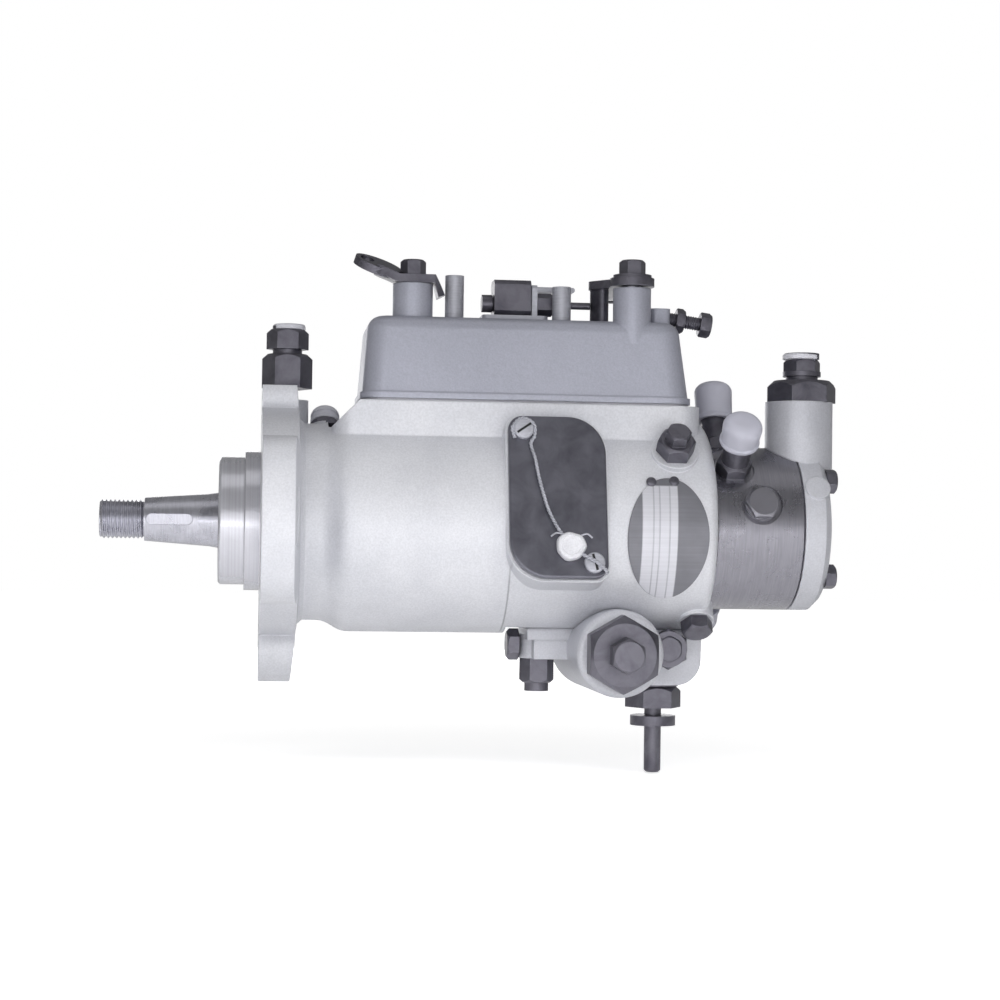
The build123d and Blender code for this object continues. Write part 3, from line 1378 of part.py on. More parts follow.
screw_plane = facing(INSPECT_X, COVER_TILT, INSPECT_REACH + INSPECT_GASKET_T + INSPECT_T)
with BuildPart() as inspection_screws:
    with Locations(screw_plane):
        with Locations(*[(x, y, 0) for x, y in inspect_screws]):
            Cylinder(3.6, 2.6, align=(Align.CENTER, Align.CENTER, Align.MIN))
            Cylinder(2.0 - SEAT, 8.4, align=(Align.CENTER, Align.CENTER, Align.MAX))
finish(inspection_screws.part, "inspection_screws")

wire_z = 2.0
wire_r = 0.45
seal_at = (2.4, -13.0)
with BuildPart() as seal_wire:
    with BuildLine(screw_plane):
        wire_path = FilletPolyline(
            (inspect_screws[0][0] + 4.1, inspect_screws[0][1] - 1.5, 1.2),
            (-6.5, 12.0, wire_z),
            (-4.8, 2.5, wire_z - 0.4),
            (seal_at[0] - 3.0, seal_at[1] + 6.0, wire_z),
            (seal_at[0], seal_at[1], wire_z),
            (inspect_screws[1][0] - 3.2, inspect_screws[1][1] + 2.9, 1.4),
            radius=2.0,
        )
    with BuildSketch(Plane(origin=wire_path @ 0, z_dir=wire_path % 0)):
        Circle(wire_r)
    sweep(path=wire_path)
finish(seal_wire.part, "seal_wire")

with BuildPart() as lead_seal:
    with Locations(screw_plane):
        with Locations((seal_at[0], seal_at[1], 0.2)):
            Cylinder(4.2, 4.0, align=(Align.CENTER, Align.CENTER, Align.MIN))
    fillet(lead_seal.edges().filter_by(GeomType.CIRCLE), 1.0)
finish(lead_seal.part, "lead_seal")

# Oval data plate, bent to the body
with BuildPart() as data_plate:
    with BuildSketch(Plane.XZ):
        with Locations((PLATE_X, PLATE_Z)):
            Ellipse(PLATE_W / 2, PLATE_H / 2)
    extrude(amount=WHOLE)
    add(
        turned(
            [
                (PLATE_X - PLATE_W, BODY_R + SEAT),
                (PLATE_X - PLATE_W, BODY_R + SEAT + PLATE_T),
                (PLATE_X + PLATE_W, BODY_R + SEAT + PLATE_T),
                (PLATE_X + PLATE_W, BODY_R + SEAT),
            ]
        ),
        mode=Mode.INTERSECT,
    )
finish(data_plate.part, "data_plate")

# Screws on the body
with BuildPart() as head_locking_screws:
    with Locations(facing(BLEED_X, BLEED_ANGLE, BODY_R + 1.2)):
        add(hex_screw(12.0, 6.0, 3.45, 12.0))
        with Locations((0, 0, 6.0)):
            add(hexagon(8.0, 4.2))
    with Locations(facing(LOCK_X, LOCK_ANGLE, BODY_R + 0.8)):
        add(hex_screw(10.0, 5.0, 2.95, 11.0))
finish(head_locking_screws.part, "head_locking_screws")

# Oil union on the flange with its cap, and the leak-off union on the neck
with BuildPart() as oil_unions:
    with Locations((UNION_X, UNION_Y, FLANGE_TOP_Z)):
        add(hexagon(16.0, UNION_HEX_H))
        Cylinder(4.0 - SEAT, 14, align=(Align.CENTER, Align.CENTER, Align.MAX))
        Cylinder(5.4, UNION_NECK_H, align=(Align.CENTER, Align.CENTER, Align.MIN))
    with Locations(facing(LEAK_X, LEAK_ANGLE, LEAK_SEAT_R)):
        add(hex_screw(11.0, 3.0, 3.45, 7.0))
        Cylinder(4.4, 5.4, align=(Align.CENTER, Align.CENTER, Align.MIN))
finish(oil_unions.part, "oil_unions")

with BuildPart() as union_plugs:
    with Locations((UNION_X, UNION_Y, FLANGE_TOP_Z + UNION_NECK_H)):
        add(hexagon(13.4, 7.4))
        with Locations((0, 0, 7.4)):
            Cylinder(5.6, 1.2, align=(Align.CENTER, Align.CENTER, Align.MIN))
    with Locations((INLET_X + 1, INLET_Y, INLET_TOP + 9.6)):
        add(hexagon(12.0, 6.4))
        Cylinder(7.0, 1.8, align=(Align.CENTER, Align.CENTER, Align.MIN))
        with Locations((0, 0, 6.4)):
            Cylinder(6.4, 2.2, align=(Align.CENTER, Align.CENTER, Align.MIN))
finish(union_plugs.part, "union_plugs")

# Advance unit: casting under the body with its cap, piston and fittings
adv_top = FLAT_Z - ADV_GASKET_T
with BuildPart() as advance_housing:
    with Locations(looking(ADV_X, ADV_FRONT, ADV_Z, (0, 1, 0), (1, 0, 0))):
        Cylinder(ADV_R, ADV_BACK - ADV_FRONT, align=(Align.CENTER, Align.CENTER, Align.MIN))
    fillet(advance_housing.edges().filter_by(GeomType.CIRCLE), 2.0)
    # Rear lug round the locating fitting, with a rounded lower corner
    with BuildSketch(Plane.XZ.offset(-14)):
        with BuildLine():
            Polyline((ADV_X, adv_top), (LUG_END, adv_top), (LUG_END, LUG_FOOT + LUG_CORNER_R))
            RadiusArc(
                (LUG_END, LUG_FOOT + LUG_CORNER_R), (LUG_END - LUG_CORNER_R, LUG_FOOT), LUG_CORNER_R
            )
            Polyline((LUG_END - LUG_CORNER_R, LUG_FOOT), (ADV_X, LUG_FOOT), (ADV_X, adv_top))
        make_face()
    extrude(amount=28)
    # Front lug round the holding stud
    with BuildSketch(Plane.XZ.offset(-12)):
        with Locations(((LUG_START + ADV_X) / 2, (adv_top + FRONT_LUG_FOOT) / 2)):
            Rectangle(ADV_X - LUG_START, adv_top - FRONT_LUG_FOOT)
    extrude(amount=24)
    with Locations((LUG_STUD_X, 0, FRONT_LUG_FOOT)):
        Cylinder(7.0, adv_top - FRONT_LUG_FOOT, align=(Align.CENTER, Align.CENTER, Align.MIN))
    # Room for the body above, down to the flat
    add(
        turned(
            [
                (LUG_START - 20, 0),
                (LUG_START - 20, BODY_R + 0.5),
                (BODY_END + 10, BODY_R + 0.5),
                (BODY_END + 10, 0),
            ]
        ),
        mode=Mode.SUBTRACT,
    )
    with BuildSketch(Plane.XZ.offset(-13)):
        with Locations(((LUG_START + LUG_END) / 2 - 1.5, adv_top - 2)):
            Rectangle(LUG_END - LUG_START + 2.1, 4)
    extrude(amount=26)
    # Bore of the piston, room for the cam screw, fittings
    with Locations(looking(ADV_X, ADV_FRONT, ADV_Z, (0, 1, 0), (1, 0, 0))):
        Cylinder(
            ADV_BORE_R,
            ADV_BACK - ADV_FRONT,
            align=(Align.CENTER, Align.CENTER, Align.MIN),
            mode=Mode.SUBTRACT,
        )
    with BuildSketch(Plane.XY.offset(ADV_Z)):
        with Locations((ADV_X, 0)):
            SlotOverall(18.0, 8.5, rotation=90)
        with Locations((LUG_STUD_X, 0)):
            Circle(3.2)
    extrude(amount=20, mode=Mode.SUBTRACT)
    with Locations((FITTING_X, 0, ADV_Z)):
        Cylinder(6.2, 60, mode=Mode.SUBTRACT)
    with Locations((LUG_STUD_X, 0, ADV_Z)):
        Cylinder(3.2, 60, mode=Mode.SUBTRACT)
    with Locations(looking(FITTING_X + 1.6, -14, FLAT_Z - 7.0, (0, -1, 0), (1, 0, 0))):
        Cylinder(6.0, 4.0, align=(Align.CENTER, Align.CENTER, Align.MIN))
finish(advance_housing.part, "advance_housing")

# Gaskets of the control cover, the inspection cover and the advance unit
with BuildPart() as gaskets:
    with BuildSketch(Plane.XY.offset(PLATFORM_Z)):
        with Locations((cover_middle, 0)):
            RectangleRounded(COVER_LENGTH, 2 * PLATFORM_HALF_W, COVER_CORNER_R)
            RectangleRounded(
                COVER_LENGTH - 2 * COVER_WALL,
                2 * (PLATFORM_HALF_W - COVER_WALL),
                3.0,
                mode=Mode.SUBTRACT,
            )
    extrude(amount=GASKET_T)
    with BuildSketch(inspect_plane):
        add(cover_shape)
        add(window_shape, mode=Mode.SUBTRACT)
        with Locations(*inspect_screws):
            Circle(2.4, mode=Mode.SUBTRACT)
    extrude(amount=INSPECT_GASKET_T)
    with BuildSketch(Plane.XY.offset(adv_top)):
        with Locations(((LUG_START + LUG_END) / 2 - 2.5, 0)):
            Rectangle(LUG_END - LUG_START - 0.9, 26.0)
        with Locations((ADV_X, 0)):
            SlotOverall(18.0, 11.0, rotation=90, mode=Mode.SUBTRACT)
        with Locations((FITTING_X, 0)):
            Circle(6.4, mode=Mode.SUBTRACT)
        with Locations((LUG_STUD_X, 0)):
            Circle(3.4, mode=Mode.SUBTRACT)
    extrude(amount=ADV_GASKET_T)
finish(gaskets.part, "gaskets")

with BuildPart() as advance_cap:
    with Locations(looking(ADV_X, ADV_FRONT, ADV_Z, (0, -1, 0), (0, 0, 1))):
        add(hexagon(CAP_AF, CAP_T))
        Cylinder(ADV_BORE_R - SEAT, PLUG_SPIGOT, align=(Align.CENTER, Align.CENTER, Align.MAX))
        with Locations((0, 0, CAP_T)):
            add(hexagon(11.0, 8.5))
finish(advance_cap.part, "advance_cap")

with BuildPart() as advance_piston:
    with Locations(looking(ADV_X, PISTON_FRONT, ADV_Z, (0, 1, 0), (0, 0, 1))):
        Cylinder(
            ADV_BORE_R - RUN,
            PISTON_BACK - PISTON_FRONT,
            align=(Align.CENTER, Align.CENTER, Align.MIN),
        )
    with BuildSketch(Plane.XY.offset(ADV_Z - BALL_R - 0.6)):
        with Locations((ADV_X, 0)):
            Circle(BALL_R + RUN)
    extrude(amount=20, mode=Mode.SUBTRACT)
    with Locations(looking(ADV_X, PISTON_FRONT, ADV_Z, (0, 1, 0), (0, 0, 1))):
        Cylinder(
            5.2,
            SPRING_POCKET,
            align=(Align.CENTER, Align.CENTER, Align.MIN),
            mode=Mode.SUBTRACT,
        )
finish(advance_piston.part, "advance_piston")

adv_spring_turns = 6
adv_spring_start = ADV_FRONT + PLUG_SPIGOT + 1.0
adv_spring_length = PISTON_FRONT + SPRING_POCKET - 1.0 - adv_spring_start
with BuildPart() as advance_spring:
    with Locations(looking(ADV_X, adv_spring_start, ADV_Z, (0, 1, 0), (0, 0, 1))):
        add(coil(4.0, 0.7, adv_spring_length / adv_spring_turns, adv_spring_length))
finish(advance_spring.part, "advance_spring")

with BuildPart() as locating_fitting:
    with Locations((FITTING_X, 0, LUG_FOOT - 8.7)):
        add(hexagon(18.0, 7.9))
    with Locations((FITTING_X, 0, LUG_FOOT)):
        Cylinder(9.2, 0.8, align=(Align.CENTER, Align.CENTER, Align.MAX))
    with Locations((FITTING_X, 0, LUG_FOOT - 0.8)):
        Cylinder(6.1, 0.2 - LUG_FOOT - CAVITY_R, align=(Align.CENTER, Align.CENTER, Align.MIN))
        Cylinder(4.9, 6.8 - LUG_FOOT - CAVITY_R, align=(Align.CENTER, Align.CENTER, Align.MIN))
    with Locations((FITTING_X, 0, LUG_FOOT - 32.5)):
        Cylinder(3.1, 24.0, align=(Align.CENTER, Align.CENTER, Align.MIN))
    chamfer(locating_fitting.edges().filter_by(GeomType.CIRCLE).sort_by(Axis.Z)[0], 0.7)
    with Locations((FITTING_X, 0, LUG_FOOT - 15.3)):
        add(ring(8.3, 3.1 + SEAT, 3.6))
finish(locating_fitting.part, "locating_fitting")

with BuildPart() as advance_fixings:
    with Locations((LUG_STUD_X, 0, FLAT_Z + 4.6)):
        Cylinder(2.9, 22.0, align=(Align.CENTER, Align.CENTER, Align.MAX))
    with Locations(looking(LUG_STUD_X, 0, FRONT_LUG_FOOT, (0, 0, -1), (1, 0, 0))):
        add(hexagon(11.0, 9.0))
        Cylinder(4.4, 12.0, align=(Align.CENTER, Align.CENTER, Align.MIN))
        Cylinder(2.9 + SEAT, 8.6, align=(Align.CENTER, Align.CENTER, Align.MIN), mode=Mode.SUBTRACT)
finish(advance_fixings.part, "advance_fixings")

with BuildPart() as advance_plugs:
    with Locations(looking(FITTING_X + 1.6, -18.0, FLAT_Z - 7.0, (0, -1, 0), (0, 0, 1))):
        add(hexagon(9.0, 4.6))
    with Locations(looking(LUG_START - 4.3, 0, FLAT_Z - 6.6, (-1, 0, 0), (0, 0, 1))):
        add(hexagon(10.0, 4.4))
    with Locations(looking(ADV_X, ADV_BACK, ADV_Z, (0, 1, 0), (0, 0, 1))):
        add(hexagon(22.0, 6.0))
        Cylinder(ADV_BORE_R - SEAT, PLUG_SPIGOT, align=(Align.CENTER, Align.CENTER, Align.MAX))
finish(advance_plugs.part, "advance_plugs")

os.makedirs("parts", exist_ok=True)
for piece in finished:
    export_step(piece, f"parts/{piece.label}.step")
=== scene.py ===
import math

import bmesh
import bpy
from mathutils import Matrix, Vector


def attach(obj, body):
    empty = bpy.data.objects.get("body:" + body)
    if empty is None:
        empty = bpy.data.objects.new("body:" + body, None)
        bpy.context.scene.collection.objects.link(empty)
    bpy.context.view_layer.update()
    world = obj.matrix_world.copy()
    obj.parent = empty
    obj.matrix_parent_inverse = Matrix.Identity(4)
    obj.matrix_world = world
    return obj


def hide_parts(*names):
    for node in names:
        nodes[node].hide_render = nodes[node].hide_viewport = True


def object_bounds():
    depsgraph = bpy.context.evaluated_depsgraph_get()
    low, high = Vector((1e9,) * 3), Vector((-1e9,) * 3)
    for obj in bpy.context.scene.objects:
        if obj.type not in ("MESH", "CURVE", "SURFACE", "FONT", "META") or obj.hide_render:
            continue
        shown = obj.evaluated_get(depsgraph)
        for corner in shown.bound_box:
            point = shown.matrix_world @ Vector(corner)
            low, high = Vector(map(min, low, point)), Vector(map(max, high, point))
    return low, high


# Looks of the diesel injection pump, in metres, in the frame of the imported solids.
# X runs along the shaft towards the head, -Y faces the camera and +Z is up.
# Added pieces are drawn in millimetres and placed by a plane.
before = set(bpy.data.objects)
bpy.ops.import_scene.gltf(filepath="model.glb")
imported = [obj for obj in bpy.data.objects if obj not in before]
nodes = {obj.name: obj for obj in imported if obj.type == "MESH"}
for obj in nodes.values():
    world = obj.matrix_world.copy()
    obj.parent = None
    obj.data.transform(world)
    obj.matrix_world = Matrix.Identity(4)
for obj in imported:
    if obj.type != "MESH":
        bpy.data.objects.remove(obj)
cad_low, cad_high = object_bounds()
MM = 0.001
SHARP = math.radians(32)

# Linear base colours, each as a light and a shaded tone
CAST = ((0.675, 0.68, 0.72), (0.60, 0.607, 0.65))
END_CAST = ((0.56, 0.565, 0.61), (0.49, 0.495, 0.54))
COVER_CAST = ((0.42, 0.428, 0.50), (0.385, 0.393, 0.46))
STEEL = ((0.56, 0.56, 0.62), (0.38, 0.38, 0.43))
ZINC = ((0.50, 0.505, 0.56), (0.38, 0.385, 0.43))
BLACKED = ((0.175, 0.170, 0.200), (0.095, 0.092, 0.113))
HEAD = ((0.28, 0.275, 0.31), (0.25, 0.246, 0.278))
COVER_PLATE = ((0.185, 0.185, 0.218), (0.135, 0.135, 0.163))
PLATE = ((0.21, 0.21, 0.235), (0.165, 0.165, 0.187))
CAP_PALE = ((0.53, 0.53, 0.61), (0.46, 0.46, 0.53))
DISC_PALE = ((0.72, 0.72, 0.78), (0.66, 0.66, 0.72))
LEAD = ((0.74, 0.74, 0.78), (0.52, 0.52, 0.57))
BRONZE = ((0.50, 0.33, 0.16), (0.34, 0.21, 0.10))
RUBBER = ((0.020, 0.020, 0.022), (0.010, 0.010, 0.011))
PAPER = ((0.36, 0.36, 0.39), (0.28, 0.28, 0.31))

# Linear colours of single marks
SPIGOT_BRIGHT = (0.62, 0.62, 0.67)
# Painted shade along the edge of the housing's step
STEP_SHADE = (0.16, 0.16, 0.18)
WORN_BLACK = (0.36, 0.36, 0.41)
PLATE_BAND = (0.60, 0.60, 0.65)
PLATE_LINE = (0.30, 0.30, 0.34)

# Places where a finish changes within one piece
SPIGOT_END = -0.15 * MM
SPIGOT_R = 25.65 * MM
STEP_X = 86.6 * MM
STEP_TOP = -16.0 * MM
STEP_SIDE = -6.0 * MM
HEAD_PLUG_TOP = 17.3 * MM
HEAD_PLUG_FOOT = -1.5 * MM
HEAD_PLUG_SIDE = -0.5 * MM
BAND_START = 132.6 * MM
BAND_END = 145.2 * MM
BAND_TOP = 14.0 * MM
BAND_BLUR = 0.4 * MM
RULED_LINES = [place * MM for place in (136.6, 138.8, 142.4)]

# Depths of the surface grain and samples of the rounded edges
GRIT_DEPTH = 0.12 * MM
PIT_DEPTH = 0.22 * MM
TURNED_DEPTH = 0.04 * MM
BLACKED_DEPTH = 0.06 * MM
MOULDED_DEPTH = 0.05 * MM
BEVEL_SAMPLES = 6


def node_tree(name):
    """New material with its node tree and its shader."""
    made = bpy.data.materials.new(name)
    made.use_nodes = True
    tree = made.node_tree
    return made, tree, tree.nodes["Principled BSDF"]


def noise(tree, position, scale, detail, roughness=0.55, distortion=0.0):
    made = tree.nodes.new("ShaderNodeTexNoise")
    made.inputs["Scale"].default_value = scale
    made.inputs["Detail"].default_value = detail
    made.inputs["Roughness"].default_value = roughness
    made.inputs["Distortion"].default_value = distortion
    tree.links.new(position, made.inputs["Vector"])
    return made.outputs["Fac"]


def ramp(tree, value, start, shade, end, light):
    """Colour from shade at the start to light at the end."""
    made = tree.nodes.new("ShaderNodeValToRGB")
    for element, place, colour in zip(made.color_ramp.elements, (start, end), (shade, light)):
        element.position = place
        element.color = (*colour, 1)
    tree.links.new(value, made.inputs["Fac"])
    return made.outputs["Color"]


def spread(tree, value, low, high, start=0.3, end=0.7):
    """Value mapped from start..end to low..high."""
    made = tree.nodes.new("ShaderNodeMapRange")
    made.inputs["From Min"].default_value = start
    made.inputs["From Max"].default_value = end
    made.inputs["To Min"].default_value = low
    made.inputs["To Max"].default_value = high
    tree.links.new(value, made.inputs["Value"])
    return made.outputs["Result"]


def below(tree, value, edge, blur):
    """1 below the edge and 0 above it."""
    return spread(tree, value, 1.0, 0.0, edge - blur / 2, edge + blur / 2)


def above(tree, value, edge, blur):
    """0 below the edge and 1 above it."""
    return spread(tree, value, 0.0, 1.0, edge - blur / 2, edge + blur / 2)


def maths(tree, operation, first, second=None, clamp=False):
    """Math node; each operand is a number or a socket."""
    made = tree.nodes.new("ShaderNodeMath")
    made.operation = operation
    made.use_clamp = clamp
    for index, value in enumerate((first, second)):
        if value is None:
            continue
        if isinstance(value, (int, float)):
            made.inputs[index].default_value = value
        else:
            tree.links.new(value, made.inputs[index])
    return made.outputs[0]


def product(tree, first, *others):
    for other in others:
        first = maths(tree, "MULTIPLY", first, other)
    return first


def ruled_line(tree, value, place, inner, outer):
    """1 within inner of the place and 0 beyond outer."""
    reach = maths(tree, "ABSOLUTE", maths(tree, "SUBTRACT", value, place))
    return spread(tree, reach, 1.0, 0.0, inner, outer)


def blend_colour(tree, factor, first, second, mode="MIX"):
    """Two colours mixed by a factor; each of the three is a value or a socket."""
    made = tree.nodes.new("ShaderNodeMixRGB")
    made.blend_type = mode
    for socket, value in (("Fac", factor), ("Color1", first), ("Color2", second)):
        target = made.inputs[socket]
        if isinstance(value, tuple):
            target.default_value = (*value, 1)
        elif isinstance(value, float):
            target.default_value = value
        else:
            tree.links.new(value, target)
    return made.outputs["Color"]


def dimmed(tree, colour, share):
    """Colour times a share, which is a socket."""
    return blend_colour(tree, 1.0, colour, share, "MULTIPLY")


def brighter(colour, share):
    return tuple(min(1, channel * share) for channel in colour)


def bump(tree, height, distance, strength, normal):
    made = tree.nodes.new("ShaderNodeBump")
    made.inputs["Distance"].default_value = distance
    made.inputs["Strength"].default_value = strength
    tree.links.new(height, made.inputs["Height"])
    tree.links.new(normal, made.inputs["Normal"])
    return made.outputs["Normal"]


def soft_edges(tree, radius):
    """Normal that rounds the edges."""
    made = tree.nodes.new("ShaderNodeBevel")
    made.samples = BEVEL_SAMPLES
    made.inputs["Radius"].default_value = radius
    return made.outputs["Normal"]


def edge_wear(tree, radius):
    """1 where a rounded edge turns away from the face, 0 on flat faces."""
    flat = tree.nodes.new("ShaderNodeNewGeometry")
    dot = tree.nodes.new("ShaderNodeVectorMath")
    dot.operation = "DOT_PRODUCT"
    tree.links.new(soft_edges(tree, radius), dot.inputs[0])
    tree.links.new(flat.outputs["Normal"], dot.inputs[1])
    return spread(tree, dot.outputs["Value"], 1.0, 0.0, start=0.72, end=0.99)


def place_of(tree):
    return tree.nodes.new("ShaderNodeTexCoord").outputs["Object"]


def axes_of(tree, position):
    made = tree.nodes.new("ShaderNodeSeparateXYZ")
    tree.links.new(position, made.inputs["Vector"])
    return made.outputs["X"], made.outputs["Y"], made.outputs["Z"]


def stretched(tree, position, scale):
    made = tree.nodes.new("ShaderNodeMapping")
    made.inputs["Scale"].default_value = scale
    tree.links.new(position, made.inputs["Vector"])
    return made.outputs["Vector"]


def distance(tree, first, second):
    """Length of the vector with these two parts."""
    squares = maths(tree, "ADD", product(tree, first, first), product(tree, second, second))
    return maths(tree, "SQRT", squares)


def set_shader(tree, shader, colour, roughness, metal, normal):
    """Links the shader's main sockets; metal may be a plain number."""
    tree.links.new(colour, shader.inputs["Base Color"])
    tree.links.new(roughness, shader.inputs["Roughness"])
    tree.links.new(normal, shader.inputs["Normal"])
    if isinstance(metal, float):
        shader.inputs["Metallic"].default_value = metal
    else:
        tree.links.new(metal, shader.inputs["Metallic"])


def cast_looks(tree, tones, rough, edge, grain):
    """Colour, roughness and normal of a bead-blasted casting.

    It has a fine grain and faint blotches, and its rounded edges are a little brighter."""
    light, shade = tones
    position = place_of(tree)
    blotch = noise(tree, position, scale=34, detail=4, distortion=0.3)
    grit = noise(tree, position, scale=1500, detail=3, roughness=0.6)
    pits = noise(tree, position, scale=420, detail=4, roughness=0.7)
    base = ramp(tree, blotch, 0.32, shade, 0.62, light)
    speckled = dimmed(tree, base, spread(tree, grit, 0.93, 1.05, start=0.35, end=0.65))
    colour = blend_colour(tree, edge_wear(tree, edge), speckled, brighter(light, 1.25))
    roughness = spread(tree, blotch, rough - 0.03, rough + 0.05)
    normal = bump(tree, grit, GRIT_DEPTH * grain, 0.30, soft_edges(tree, edge))
    normal = bump(tree, pits, PIT_DEPTH * grain, 0.25, normal)
    return colour, roughness, normal


def cast_metal(name, tones, rough=0.44, metal=0.35, edge=0.9 * MM, grain=1.0):
    made, tree, shader = node_tree(name)
    colour, roughness, normal = cast_looks(tree, tones, rough, edge, grain)
    set_shader(tree, shader, colour, roughness, metal, normal)
    return made


def housing_metal(name):
    """Casting with a bright spigot in front of the flange.

    The machined rear half of the body starts with a fine step, seen on the near side
    below the inspection cover."""
    made, tree, shader = node_tree(name)
    colour, roughness, normal = cast_looks(tree, CAST, rough=0.44, edge=0.9 * MM, grain=1.0)
    position = place_of(tree)
    x, y, z = axes_of(tree, position)

    in_front = below(tree, x, SPIGOT_END, 0.2 * MM)
    spigot = product(tree, in_front, below(tree, distance(tree, y, z), SPIGOT_R, 0.3 * MM))
    lines = noise(tree, stretched(tree, position, (1400, 8, 8)), scale=1.0, detail=2, roughness=0.6)
    colour = blend_colour(
        tree, spigot, colour, dimmed(tree, SPIGOT_BRIGHT, spread(tree, lines, 0.88, 1.08))
    )
    roughness = product(tree, roughness, spread(tree, spigot, 1.0, 0.45, start=0, end=1))
    metal = spread(tree, spigot, 0.35, 0.70, start=0, end=1)

    near_foot = product(tree, below(tree, z, STEP_TOP, 8 * MM), below(tree, y, STEP_SIDE, 12 * MM))
    # Painted shade: a dark line along the step's edge, where its riser would be in shade.
    step_shade_line = product(tree, ruled_line(tree, x, STEP_X, 0.10 * MM, 0.45 * MM), near_foot)
    colour = blend_colour(tree, product(tree, step_shade_line, 0.62), colour, STEP_SHADE)
    rise = product(tree, above(tree, x, STEP_X, 0.8 * MM), near_foot)
    normal = bump(tree, rise, 0.5 * MM, 0.8, normal)
    set_shader(tree, shader, colour, roughness, metal, normal)
    return made


def turned_metal(name, tones, rough=0.26, metal=0.95, stretch=(900, 60, 60)):
    """Steel turned or ground, with smudges and fine lines across its most stretched axis."""
    light, shade = tones
    edge = 0.25 * MM
    made, tree, shader = node_tree(name)
    position = place_of(tree)
    smudge = noise(tree, position, scale=90, detail=4, roughness=0.6, distortion=0.6)
    lines = noise(tree, stretched(tree, position, stretch), scale=3.0, detail=3, roughness=0.7)
    base = ramp(tree, smudge, 0.28, shade, 0.58, light)
    streaked = dimmed(tree, base, spread(tree, lines, 0.88, 1.10))
    worn = blend_colour(tree, edge_wear(tree, edge), streaked, brighter(light, 1.4))
    roughness = spread(tree, smudge, rough - 0.06, rough + 0.12)
    normal = bump(tree, lines, TURNED_DEPTH, 0.5, soft_edges(tree, edge))
    set_shader(tree, shader, worn, roughness, metal, normal)
    return made


def blacked_metal(name, tones, edge=0.3 * MM):
    """Steel with a black finish that has worn off along its edges."""
    light, shade = tones
    made, tree, shader = node_tree(name)
    position = place_of(tree)
    cloud = noise(tree, position, scale=120, detail=5, roughness=0.62, distortion=0.5)
    grit = noise(tree, position, scale=1100, detail=3, roughness=0.6)
    base = ramp(tree, cloud, 0.30, shade, 0.62, light)
    patches = spread(tree, cloud, 0.25, 0.9, start=0.35, end=0.65)
    worn = blend_colour(tree, product(tree, edge_wear(tree, edge), patches), base, WORN_BLACK)
    roughness = spread(tree, cloud, 0.30, 0.48)
    normal = bump(tree, grit, BLACKED_DEPTH, 0.4, soft_edges(tree, edge))
    set_shader(tree, shader, worn, roughness, 0.85, normal)
    return made


def union_metal(name):
    """The blacked steel of the unions; the side plug has the head's bare steel."""
    made = blacked_metal(name, BLACKED)
    tree = made.node_tree
    base_colour = tree.nodes["Principled BSDF"].inputs["Base Color"]
    _, y, z = axes_of(tree, place_of(tree))
    plug = product(
        tree,
        below(tree, z, HEAD_PLUG_TOP, 0.2 * MM),
        below(tree, y, HEAD_PLUG_SIDE, 1.0 * MM),
        above(tree, z, HEAD_PLUG_FOOT, 1.0 * MM),
    )
    blacked_colour = base_colour.links[0].from_socket
    tree.links.new(blend_colour(tree, plug, blacked_colour, HEAD[0]), base_colour)
    return made


def moulded(name, tones, rough, see_through=0.0):
    """Moulded plastic or rubber with a faint grain."""
    light, shade = tones
    made, tree, shader = node_tree(name)
    position = place_of(tree)
    cloud = noise(tree, position, scale=60, detail=3, roughness=0.5)
    grit = noise(tree, position, scale=900, detail=2, roughness=0.5)
    colour = ramp(tree, cloud, 0.3, shade, 0.7, light)
    roughness = spread(tree, cloud, rough - 0.05, rough + 0.08)
    normal = bump(tree, grit, MOULDED_DEPTH, 0.3, soft_edges(tree, 0.4 * MM))
    set_shader(tree, shader, colour, roughness, 0.0, normal)
    shader.inputs["Subsurface Weight"].default_value = see_through
    shader.inputs["Subsurface Radius"].default_value = (1.0, 1.0, 1.0)
    shader.inputs["Subsurface Scale"].default_value = 2.0 * MM
    return made


def plate_metal(name):
    """Etched plate: a pale band with ruled lines between two dark grey sides."""
    light, shade = PLATE
    made, tree, shader = node_tree(name)
    position = place_of(tree)
    x, _, z = axes_of(tree, position)
    cloud = noise(tree, position, scale=70, detail=4)
    brushed = noise(tree, stretched(tree, position, (30, 30, 1500)), scale=1.0, detail=2, roughness=0.6)
    band = product(
        tree,
        above(tree, x, BAND_START, BAND_BLUR),
        below(tree, x, BAND_END, BAND_BLUR),
        below(tree, z, BAND_TOP, BAND_BLUR),
    )
    colour = blend_colour(tree, band, ramp(tree, cloud, 0.3, shade, 0.7, light), PLATE_BAND)
    lines = 0.0
    for place in RULED_LINES:
        lines = maths(tree, "MAXIMUM", lines, ruled_line(tree, x, place, 0.12 * MM, 0.35 * MM))
    lines = product(tree, lines, product(tree, band, 0.55))
    colour = blend_colour(tree, lines, colour, PLATE_LINE)
    colour = dimmed(tree, colour, spread(tree, brushed, 0.94, 1.05))
    roughness = spread(tree, cloud, 0.34, 0.46)
    height = maths(tree, "SUBTRACT", 1.0, lines)
    normal = bump(tree, height, 0.2 * MM, 0.5, soft_edges(tree, 0.2 * MM))
    set_shader(tree, shader, colour, roughness, 0.45, normal)
    return made


def paint(material, *names):
    for node in names:
        mesh = nodes[node].data
        mesh.materials.clear()
        mesh.materials.append(material)


